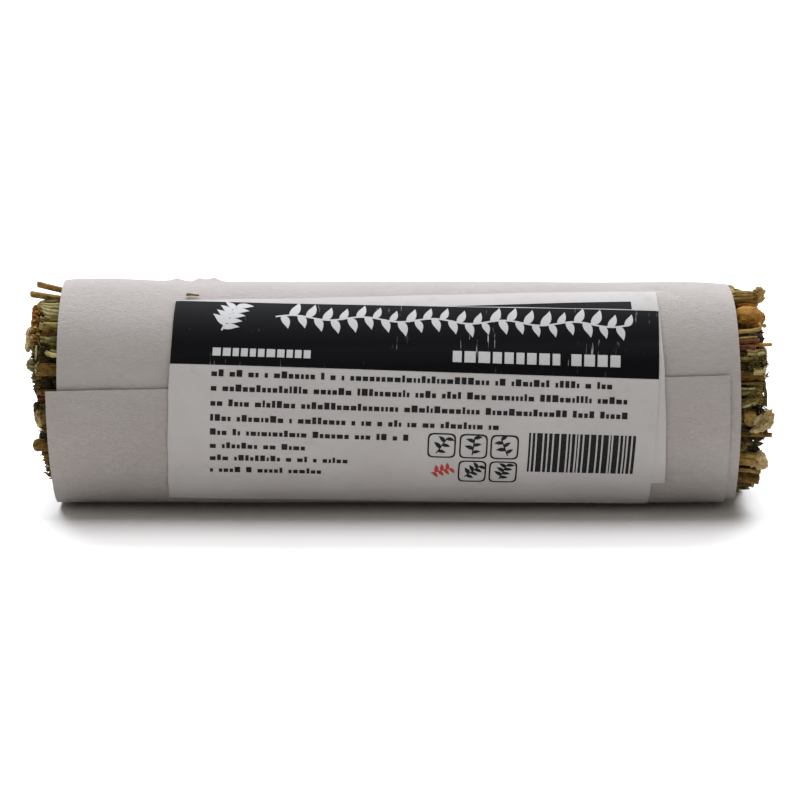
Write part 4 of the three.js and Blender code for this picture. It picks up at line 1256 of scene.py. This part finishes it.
# %% Left end: the lower half
(Front("left_brown_leaf")
 .leaf(brown_leaf, -1.2, 0.1, 0.3, 0.95, 0.9, Pleat=0.03, Crumple=0.06, Ragged=0.1)
 .leaf(pale_leaf, -1.2, 0.06, 0.32, 0.92, 0.9, Pleat=0.03, Crumple=0.06, Ragged=0.1, root=0.3)
 .lump(grey_leaf, 2, -0.6, -0.1, 0.5, 0.75, 0.6, 0.25, Tone=0.45)
 .litter(olive_leaf, 1.5, 8, -0.2, 1.3, -1.2, 0.3, 120, Long=0.8, Wide=0.25, Lean=1.6)
 .litter(crumbs_and_shade, 1.5, 8.5, -0.2, 2.2, -1.6, -0.2, 120)
 .litter(pale_leaf, 2, 9, -0.3, 1.2, -0.2, 0.5, 14, Long=1.4, Wide=0.07, Lean=1.6, Bend=0.9)
 .filled("golden_leaf", turn=-3, wide=6))

(Front("left_broken_leaf")
 .leaf(red_bark, 0, 0, 0.1, 1.15, 1.4, Pleats=4, Pleat=0.16, Crumple=0.25, Ragged=0.4, Tone=0.55)
 .leaf(brown_leaf, 2.2, 0.35, 0.5, 0.75, 2.8, Pleat=0, Crumple=0.08, Tone=0.6)
 .leaf(pale_leaf, 2.2, 0.3, 0.52, 0.77, 2.8, Pleat=0, Crumple=0.08, root=0.3)
 .tuft(olive_leaf, -8, 0, 3.5, 80)
 .lump(crumbs_and_shade, 8, 1.8, -0.5, 0.9, 1.6, 0.6, 0.2)
 .lump(crumbs_and_shade, 5.5, 0.7, -0.4, 0.7, 1.2, 0.6, 0.3, Grain=1.8)
 .lump(crumbs_and_shade, -8.5, 0.5, -0.3, 0.6, 1, 0.6, 0.35, Grain=1.8)
 .litter(olive_leaf, 6, 4, 0.1, 1.2, -0.8, 0.2, 50, Long=0.7, Wide=0.25)
 .filled("leaf", turn=-5, wide=7))

(Front("left_pithy_stem")
 .lump(pith, 0, 0.7, -0.3, 0.6, 1.3, 0.9, 0.26, Grain=1.3, Lean=0.2, Tone=0.3)
 .tuft(olive_leaf, 3, 0.3, 3, 50)
 .tuft(brown_leaf, -3.5, 0.5, 4, 60)
 .rod(bark, pith, 0, 0.9, -0.6, 1.2, Lumps=0.12)
 .leaf(brown_leaf, -6.5, 0.8, 0.1, 0.6, 1.2)
 .filled("pith", wide=7))

(Front("left_stub_stem")
 .rod(brown_leaf, brown_leaf, -1, 0.5, 0, 0.9, Round=1.1, Lumps=0.16, Ridges=7, Ridge=0.08)
 .litter(brown_leaf, 0, 4, 0.7, 5, -0.4, 0.75, 70, Long=0.5, Wide=0.05)
 .filled("stem", wide=6))

(Front("left_low_leaf")
 .leaf(brown_leaf, 1.5, 0.7, 0.1, 0.8, 1.3, Ragged=0.2)
 .leaf(olive_leaf, -4, 0.6, 0.1, 0.7, 0.8, Pleat=0.15, Ragged=0.2)
 .row(Front.lump, brown_leaf, "turn back", ((3, 0.7), (-0.5, 1), (-4, 0.9)), out=0, Long=0.5,
      High=0.55, Deep=0.5, Rough=0.4, Grain=1.6, Tone=0.4)
 .tuft(brown_leaf, 0, 0.5, 6, 90)
 .filled("leaf", wide=7))

(Front("left_bottom_leaf")
 .leaf(brown_leaf, 4, 0.5, 0, 1.2, 1.1, Ragged=0.25, Tone=0.4)
 .row(Front.lump, brown_leaf, "turn back", ((8, 0.6), (4, 0.8), (0, 0.9), (-4, 1), (-8, 1.1)), out=0.5,
      Long=0.45, High=0.55, Deep=0.5, Rough=0.4, Grain=1.6)
 .leaf(olive_leaf, -5, 0.4, 0, 1.1, 0.9, Pleats=3)
 .litter(brown_leaf, 2, 14, 0, 2.5, -0.8, 0.5, 110, Lean=0.9)
 .filled("leaf", turn=1, wide=15, back=0.1, low=-3.2, high=0.4, count=160))

# %% [markdown]
# ## The right end, from top to bottom
# A ragged strip of bark stands up at the top. A granular golden bract lies below it and in front,
# then a strip that curls outwards, red-brown stems, a crumpled pale leaf, a split leaf, crumbling pith
# and, near the table, straight-cut stems.

# %% Right end: bark, bract and curled strip
(Front("right_bark_strip", 1)
 .lump(bark, 0, 2.3, -0.2, 2.5, 1, 1.1, 0.24, Grain=1.1, Tone=0.45)
 .lump(bark, -1.5, 0.5, 0.75, 0.8, 0.7, 0.75, 0.36, Grain=1.2, Tone=0.7)
 .lump(orange_bark, -3, 2.4, -0.9, 1.9, 0.8, 0.55, 0.3, Grain=1.3)
 .leaf(bark, -4, 0.3, 0.1, 0.7, 0.9, Narrow=1.2, Twist=1, Pleats=3, Pleat=0.16, Lift=0.5, root=6, Thick=0.3)
 .filled("golden_leaf", wide=5, low=-3, high=-0.8))

(Front("right_golden_leaf")
 .lump(golden_leaf, 0.6, 2.1, -0.1, 2.1, 1.85, 1.25, 0.13, Lean=-0.1, Grain=2.6)
 .lump(golden_leaf, 0.3, 0.85, 0.1, 0.95, 0.8, 0.7, 0.2, Lean=-0.4, Grain=2)
 .lump(orange_bark, -4.4, 2.2, -0.1, 1.8, 0.8, 0.9, 0.2, Grain=2.4, Tone=0.1)
 .leaf(orange_bark, 1, 0.9, -0.7, 1.3, 1.3, Pleat=0.1, Tone=0.2)
 .litter(brown_leaf, -5, 5, 0.8, 5, -2, -0.2, 70)
 .settle("golden_leaf"))

(Front("right_curled_strip")
 .leaf(bark, 0.3, 0.7, 0.35, 0.36, 0.8, Narrow=1, Pleat=0, Crumple=0.06, Curl=0.75, Rise=0.7, Ragged=0.1,
      Thick=0.22, Tone=0.7)
 .lump(pale_leaf, 3.4, 0.5, 0.7, 0.3, 0.3, 0.3, 0.12, Tone=0.35)
 .leaf(brown_leaf, -3, 1.8, -0.2, 0.7, 1.2, Tone=0.2, Pleat=0.08)
 .filled("golden_leaf", wide=4, low=-3, high=-0.4))

# %% Right end: stems, twig and pale leaf
(Front("right_red_stem")
 .rod(red_bark, pith, 1.6, 0, 0.25, 0.38, Ridges=2, Ridge=0.1, Slant=0.3)
 .rod(red_bark, pale_leaf, -1.8, 0.5, 0.1, 0.42, Ridges=3)
 .rod(bark, pale_leaf, 3.6, 0.2, 0.45, 0.14, Ridge=0)
 .settle("stem"))

(Front("right_twig")
 .rod(orange_bark, pith, 4.6, 0, -0.1, 0.28, Ridges=2, Ridge=0.08, Round=0.4)
 .leaf(brown_leaf, -0.5, 1.6, -0.4, 0.7, 1.3, Crumple=0.35, Tone=0.3, Pleat=0.08)
 .filled("stem", wide=4, low=-3, high=-0.5))

(Front("right_pale_leaf")
 .leaf(pale_leaf, 4.4, 0.1, 0.5, 1, 1.5, Pleats=3, Pleat=0.18, Crumple=0.6, root=3.2, Wring=0.6)
 .leaf(olive_leaf, 2.2, 1.3, 0.5, 0.9, 1.5, Pleats=3, Crumple=0.55, root=4.5, Wring=-0.5)
 .leaf(olive_leaf, -0.5, 0.9, -0.3, 0.9, 1.3, Pleats=3, Tone=0.25)
 .tuft(olive_leaf, -1, 0.4, 4, 60)
 .filled("leaf", wide=4, back=1))

# %% Right end: split and long leaves, pith
(Front("right_split_leaf")
 .leaf(brown_leaf, 0, 0.1, 0.25, 1.15, 1.2, Fold=0.1, Pleat=0.08, Crumple=0.16, Ragged=0.5, Tone=0.6)
 .leaf(pale_leaf, 0.8, 0, 0.4, 1, 1.6, Pleat=0.1, root=1.9, Twist=0.5, Tone=0.6)
 .leaf(olive_leaf, 5.5, 0.9, 0, 0.75, 1.1, Crumple=0.4, Ragged=0.3)
 .rod(brown_leaf, brown_leaf, -5, 0.9, 0.3, 0.16, Lumps=0.3)
 .tuft(olive_leaf, 6, 0.8, 3, 70, Long=0.5)
 .filled("leaf", turn=3, wide=6, back=0.2))

(Front("right_long_leaf")
 .leaf(olive_leaf, 2.6, 0.9, 0.3, 0.8, 1.5, Pleat=0.06, Crumple=0.25, Ragged=0.2, Point=0.4, Tone=0.4)
 .leaf(pale_leaf, 4.9, 0.6, 0.45, 0.2, 1, Pleat=0, Crumple=0.15, root=6)
 .leaf(olive_leaf, -4.2, 0.7, 0.3, 0.95, 1.5, Pleat=0.1, Wring=-0.3, Rise=0.5, Ragged=0.25, Point=0.6,
      Tone=0.8)
 .leaf(pale_leaf, -7.2, 0.6, 0.4, 0.28, 1, Pleat=0, Crumple=0.2, Rise=1.1, root=6)
 .row(Front.lump, olive_leaf, "turn back", ((10.5, 0.3), (6.5, 0.15), (2, 0), (-2.5, 0)), out=0.1, Lean=0.1,
      Long=0.22, High=0.85, Deep=0.25, Rough=0.3, Tone=0.1)
 .row(Front.lump, olive_leaf, "turn back Tone", ((7.5, 0.95, 0.2), (3, 0.9, 0.7), (-2, 0.8, 0.3)), out=-0.1,
      Long=0.7, High=0.7, Deep=0.6, Rough=0.42, Grain=1.5)
 .tuft(olive_leaf, 2, 0.7, 5, 60, Long=0.5)
 .filled("leaf", wide=7))

(Front("right_pithy_stem")
 .row(Front.lump, pith, "turn back out Lean Long High Deep", ((3.4, 0.7, 0.2, 0.9, 0.85, 0.48, 0.6),
      (-4, 1.7, 0.3, 0.5, 1.3, 0.48, 0.6), (-0.4, 1, 0, 0.7, 1.1, 0.56, 0.6),
      (1.4, 0.35, 0.2, -0.9, 0.6, 0.36, 0.5), (-3.4, 0.7, 0.3, 0.2, 0.6, 0.4, 0.5),
      (0.6, 1.9, 0.3, 0.9, 0.8, 0.4, 0.5)), Rough=0.42, Grain=2)
 .row(Front.lump, pith, "turn back Lean Long High Deep", ((-1.6, 0.5, 1, 0.75, 0.4875, 0.6),
      (-3.6, 1.2, 0.8, 0.7, 0.455, 0.56), (2, 0.2, 1.2, 0.6, 0.39, 0.48)), out=0.5, Rough=0.42, Grain=2.2,
      Tone=0.6)
 .rod(bark, pith, 0, 2.2, -0.8, 1.3, Lumps=0.12)
 .leaf(brown_leaf, 1.5, 3, 0.25, 1.4, 1.2, Pleats=3, Pleat=0.15, Crumple=0.35, Ragged=0.8, root=4, Tone=0.2)
 .tuft(pith, 0, 0, 6, 30)
 .filled("pith", wide=7))

# %% Right end: the lower third
(Front("right_dark_twig")
 .rod(brown_leaf, pith, 0.2, 0, 0, 0.36, Ridges=3, Lumps=0.12, Round=0.4)
 .lump(pith, 0.2, 0.12, 0.1, 0.16, 0.3, 0.3, 0.3)
 .filled("stem", wide=5))

(Front("right_short_leaf")
 .leaf(brown_leaf, 1.6, 0.1, 0.3, 0.95, 0.9, Fold=0.35, Pleat=0.05, Crumple=0.2, Tone=0.6)
 .leaf(olive_leaf, -3.5, 0.5, 0.1, 0.7, 1.3, Tone=0.3)
 .lump(brown_leaf, 5, -0.2, -0.3, 0.9, 0.6, 0.5, 0.5, Tone=0.2)
 .filled("leaf", wide=6, back=0))

(Front("right_thick_stem")
 .rod(bark, pith, 4.2, 1.2, 0.3, 0.42, Ridges=2, Ridge=0.1)
 .rod(bark, pith, -1.5, 1.1, 0, 0.85, Ridge=0.16)
 .lump(pith, 2.4, 0.6, 0.1, 0.7, 0.85, 0.7, 0.3, Lean=0.5, Grain=1.4, Tone=0.6)
 .lump(pith, -3, 0.3, 0.2, 0.85, 0.95, 0.8, 0.3, Lean=-0.3, Grain=1.4, Tone=0.6)
 .tuft(pith, -1, 0.2, 4, 25)
 .lump(crumbs_and_shade, -6, 1.4, -0.4, 0.9, 0.9, 0.5, 0.2)
 .filled("pith", wide=6))

(Front("right_cut_stem")
 .rod(bark, pith, 3.8, -0.4, 0.3, 0.35, Ridges=3, Ridge=0.14)
 .rod(brown_leaf, bark, -3.6, -0.3, 0.1, 1, Ridges=6, Ridge=0.14)
 .filled("stem", wide=6))

(Front("right_bottom_stem")
 .rod(bark, pith, 3.5, -0.3, 0.3, 0.32, Ridges=3)
 .rod(red_bark, pith, -3, 0.5, 0, 0.62, Round=0.5)
 .lump(pith, -3.4, 0.3, 0.1, 0.28, 0.55, 0.5, 0.3)
 .filled("stem", wide=6))

# %% Crumbs that have sifted into the middle
wad = grow("loose_crumbs", lump, X=0, Angle=0, Out=0, Long=9 * MM, High=12.6 * MM, Deep=12.6 * MM,
           Rough=0, Seed=3, Stuff=crumbs_and_shade)
settle(wad, "leaf")

# %% [markdown]
# ## Thread and scrap
# A cotton thread binds the herbs under the paper. It is two strands twisted together, and the pair
# follows the coil of the measured model. A curl of dry leaf is caught at the label's upper edge.

# %% The binding thread
COIL_RADIUS = 13.84 * MM
COIL_REACH = 36 * MM
COIL_TURNS = 4


def thread_recipe():
    recipe = Recipe("twisted_thread", Radius=0.0003, Twists=160.0, Strand=0.0, Cotton="Material")
    u, v, _ = recipe.place()
    angle = v * (COIL_TURNS * TURN)
    twist = v * recipe.Twists * TURN + recipe.Strand
    phi = u * TURN
    half = recipe.Radius * 0.5
    fuzz = recipe.noise((v * 3000, phi.cos(), phi.sin()), 1.0, 2.0, 0.6) * 0.4 + 0.8
    out = half * twist.cos() + half * phi.cos() * fuzz
    along = half * twist.sin() + half * phi.sin() * fuzz
    radius = COIL_RADIUS + out
    x = (v * 2 - 1) * COIL_REACH + along
    y, z = AXIS.y - radius * angle.cos(), AXIS.z + radius * angle.sin()
    bent = recipe.moved(recipe.sheet(7, 1300), x, y, z)
    return recipe.finish(recipe.dressed(recipe.merged(bent), recipe.Cotton))


def cotton_look(graph):
    fibre = graph.noise(here(graph, (6.0, 2.0, 2.0)), 1.2, 4.0, 0.7)
    return {"colour": graph.mix(fibre, (0.60, 0.52, 0.38, 1), (0.86, 0.81, 0.68, 1)),
            "roughness": 0.8 + fibre * 0.15, "height": fibre, "depth": 0.05 * MM}


cotton = paint("cotton thread", cotton_look, sheen=0.3)
thread = thread_recipe()
strands = [grow(f"strand_{i}", thread, Strand=i * TURN / 2, Cotton=cotton) for i in range(2)]
settle(joined_piece("binding_thread_strands", strands), "thread", "binding_thread")

# %% A scrap of leaf, caught at the label's upper edge
SCRAP_MIDDLE = -27.8 * MM
SCRAP_ANGLE = 70.3 * DEGREE
SCRAP_LENGTH = 1.85 * MM
SCRAP_WIDTH = 0.68 * MM
SCRAP_LIFT = 0.07 * MM
SCRAP_TEAR = 0.1 * MM
SCRAP_THICKNESS = 0.06 * MM


def scrap_recipe():
    recipe = Recipe("leaf_scrap", Curl=0.00016, Leaf="Material")
    u, v, _ = recipe.place()
    s = v * 2 - 1
    torn = recipe.noise((u * 3, s, 4.0), 2.0, 3.0, 0.7) - 0.5
    x = SCRAP_MIDDLE + (u - 0.5) * SCRAP_LENGTH * (1 - abs(s) * 0.12) + torn * SCRAP_TEAR
    angle = SCRAP_ANGLE + s * (1 - u * 0.6 + torn * 0.3) * (SCRAP_WIDTH / PAPER_RADIUS / 2)
    curled = (s * s + u * (u * 6).sin() * 0.5).most(0).least(1) * recipe.Curl
    radius = wrap_radius(x, angle) + SCRAP_LIFT + curled
    marked = recipe.noted(recipe.sheet(40, 18), "spread", (u * 2, s * 0.4, 5.0))
    toned = recipe.noted(marked, "tone", s * 0.0 + 0.6)
    bent = recipe.moved(toned, *around(x, radius, angle))
    return recipe.shell(bent, SCRAP_THICKNESS, recipe.Leaf)


settle(grow("leaf_scrap_curl", scrap_recipe(), Leaf=olive_leaf), "leaf", "leaf_scrap")

# %% [markdown]
# ## Floor
# The stick lies on a plain white sheet that runs out of the picture on every side. In the photograph
# the sheet is brighter than paper white, and it throws light back up under the roll. A large flat
# square with a high, slightly uneven reflectance does the same.

# %% Floor
FLOOR_HALF = 1.3


def floor_look(graph):
    drift = graph.noise(here(graph), 0.02, 3.0, 0.5)
    return {
        "colour": graph.mix(drift, (0.87, 0.85, 0.82, 1), (0.85, 0.83, 0.80, 1)),
        "roughness": 0.6 + drift * 0.1,
    }


corners = [(x * FLOOR_HALF, y * FLOOR_HALF, 0.0) for x, y in ((-1, -1), (1, -1), (1, 1), (-1, 1))]
sheet = bpy.data.meshes.new("floor")
sheet.from_pydata(corners, [], [(0, 1, 2, 3)])
sheet.materials.append(paint("white floor", floor_look))
floor = bpy.data.objects.new("floor", sheet)
bpy.context.scene.collection.objects.link(floor)
floor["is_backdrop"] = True
print("floor of", 2 * FLOOR_HALF, "m")

# %% [markdown]
# ## Light
# The paper is bright on top, falls off fast towards the front and then stays level down to the table.
# That is the mark of broad light from above and behind, filled in by the white floor. So there are
# two softboxes, one overhead and one behind, and a dim room. The room is plain white only where the
# camera sees it, because its own light is much weaker than that white.

# %% Room
ROOM_FILL = 0.27
ROOM_SEEN = 1.0
world = bpy.data.worlds.new("room")
bpy.context.scene.world = world
world.use_nodes = True
room = Graph(world.node_tree)
background = world.node_tree.nodes["Background"]
seen = room.node("ShaderNodeLightPath").out("Is Camera Ray")
strength = seen * (ROOM_SEEN - ROOM_FILL) + ROOM_FILL
colour = room.mix(seen, (1.0, 0.975, 0.955, 1), (1.0, 1.0, 1.0, 1))
world.node_tree.links.new(strength.end, background.inputs["Strength"])
world.node_tree.links.new(colour.end, background.inputs["Color"])


# %% Softboxes
def softbox(name, place, size, power, colour):
    """A rectangular lamp that faces the stick. Sizes are in metres."""
    data = bpy.data.lights.new(name, "AREA")
    data.shape = "RECTANGLE"
    data.size, data.size_y = size
    data.energy = power
    data.color = colour
    light = bpy.data.objects.new(name, data)
    light.location = place
    light.rotation_mode = "QUATERNION"
    light.rotation_quaternion = (-Vector(place)).to_track_quat("-Z", "Y")
    bpy.context.scene.collection.objects.link(light)
    print(name, power, "W")


softbox("overhead softbox", (0, 0.14, 2.0), (2.4, 1.3), 42.0, (0.96, 0.985, 1.04))
softbox("rear softbox", (0, 1.30, 1.52), (2.4, 1.1), 76.0, (0.95, 0.985, 1.06))

# %% [markdown]
# ## Camera
# The photograph looks down on the stick by 13.5 degrees from 40 cm. That was worked out from how the
# roll's ends bow and from the printed length of 10 cm, and the focal length follows from the scale.

# %% Camera
VIEW_DISTANCE = 400 * MM
ELEVATION = 13.5 * DEGREE
PHOTO_SIDE = 800
FOCAL_PIXELS = 2931
SENSOR = 36
AIM_BELOW = 1.365 * MM
AIM_LEFT = 0.10 * MM

camera = bpy.data.objects.new("camera", bpy.data.cameras.new("camera"))
bpy.context.scene.collection.objects.link(camera)
bpy.context.scene.camera = camera
camera.data.sensor_width = SENSOR
camera.data.lens = FOCAL_PIXELS / PHOTO_SIDE * SENSOR
camera.data.clip_start, camera.data.clip_end = 0.01, 20
back = Vector((0, -math.cos(ELEVATION), math.sin(ELEVATION)))
up = Vector((0, math.sin(ELEVATION), math.cos(ELEVATION)))
camera.location = AXIS + back * VIEW_DISTANCE - up * AIM_BELOW - Vector((AIM_LEFT, 0, 0))
camera.rotation_mode = "QUATERNION"
camera.rotation_quaternion = (-back).to_track_quat("-Z", "Y")
bpy.context.scene.view_settings.view_transform = "Standard"
print("camera", tuple(round(value, 4) for value in camera.location))

# %% [markdown]
# ## The stick's box
# The box round everything that was made here is worked out, leaving out the floor and the hidden measured
# parts.

# %% The stick's box
low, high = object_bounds()
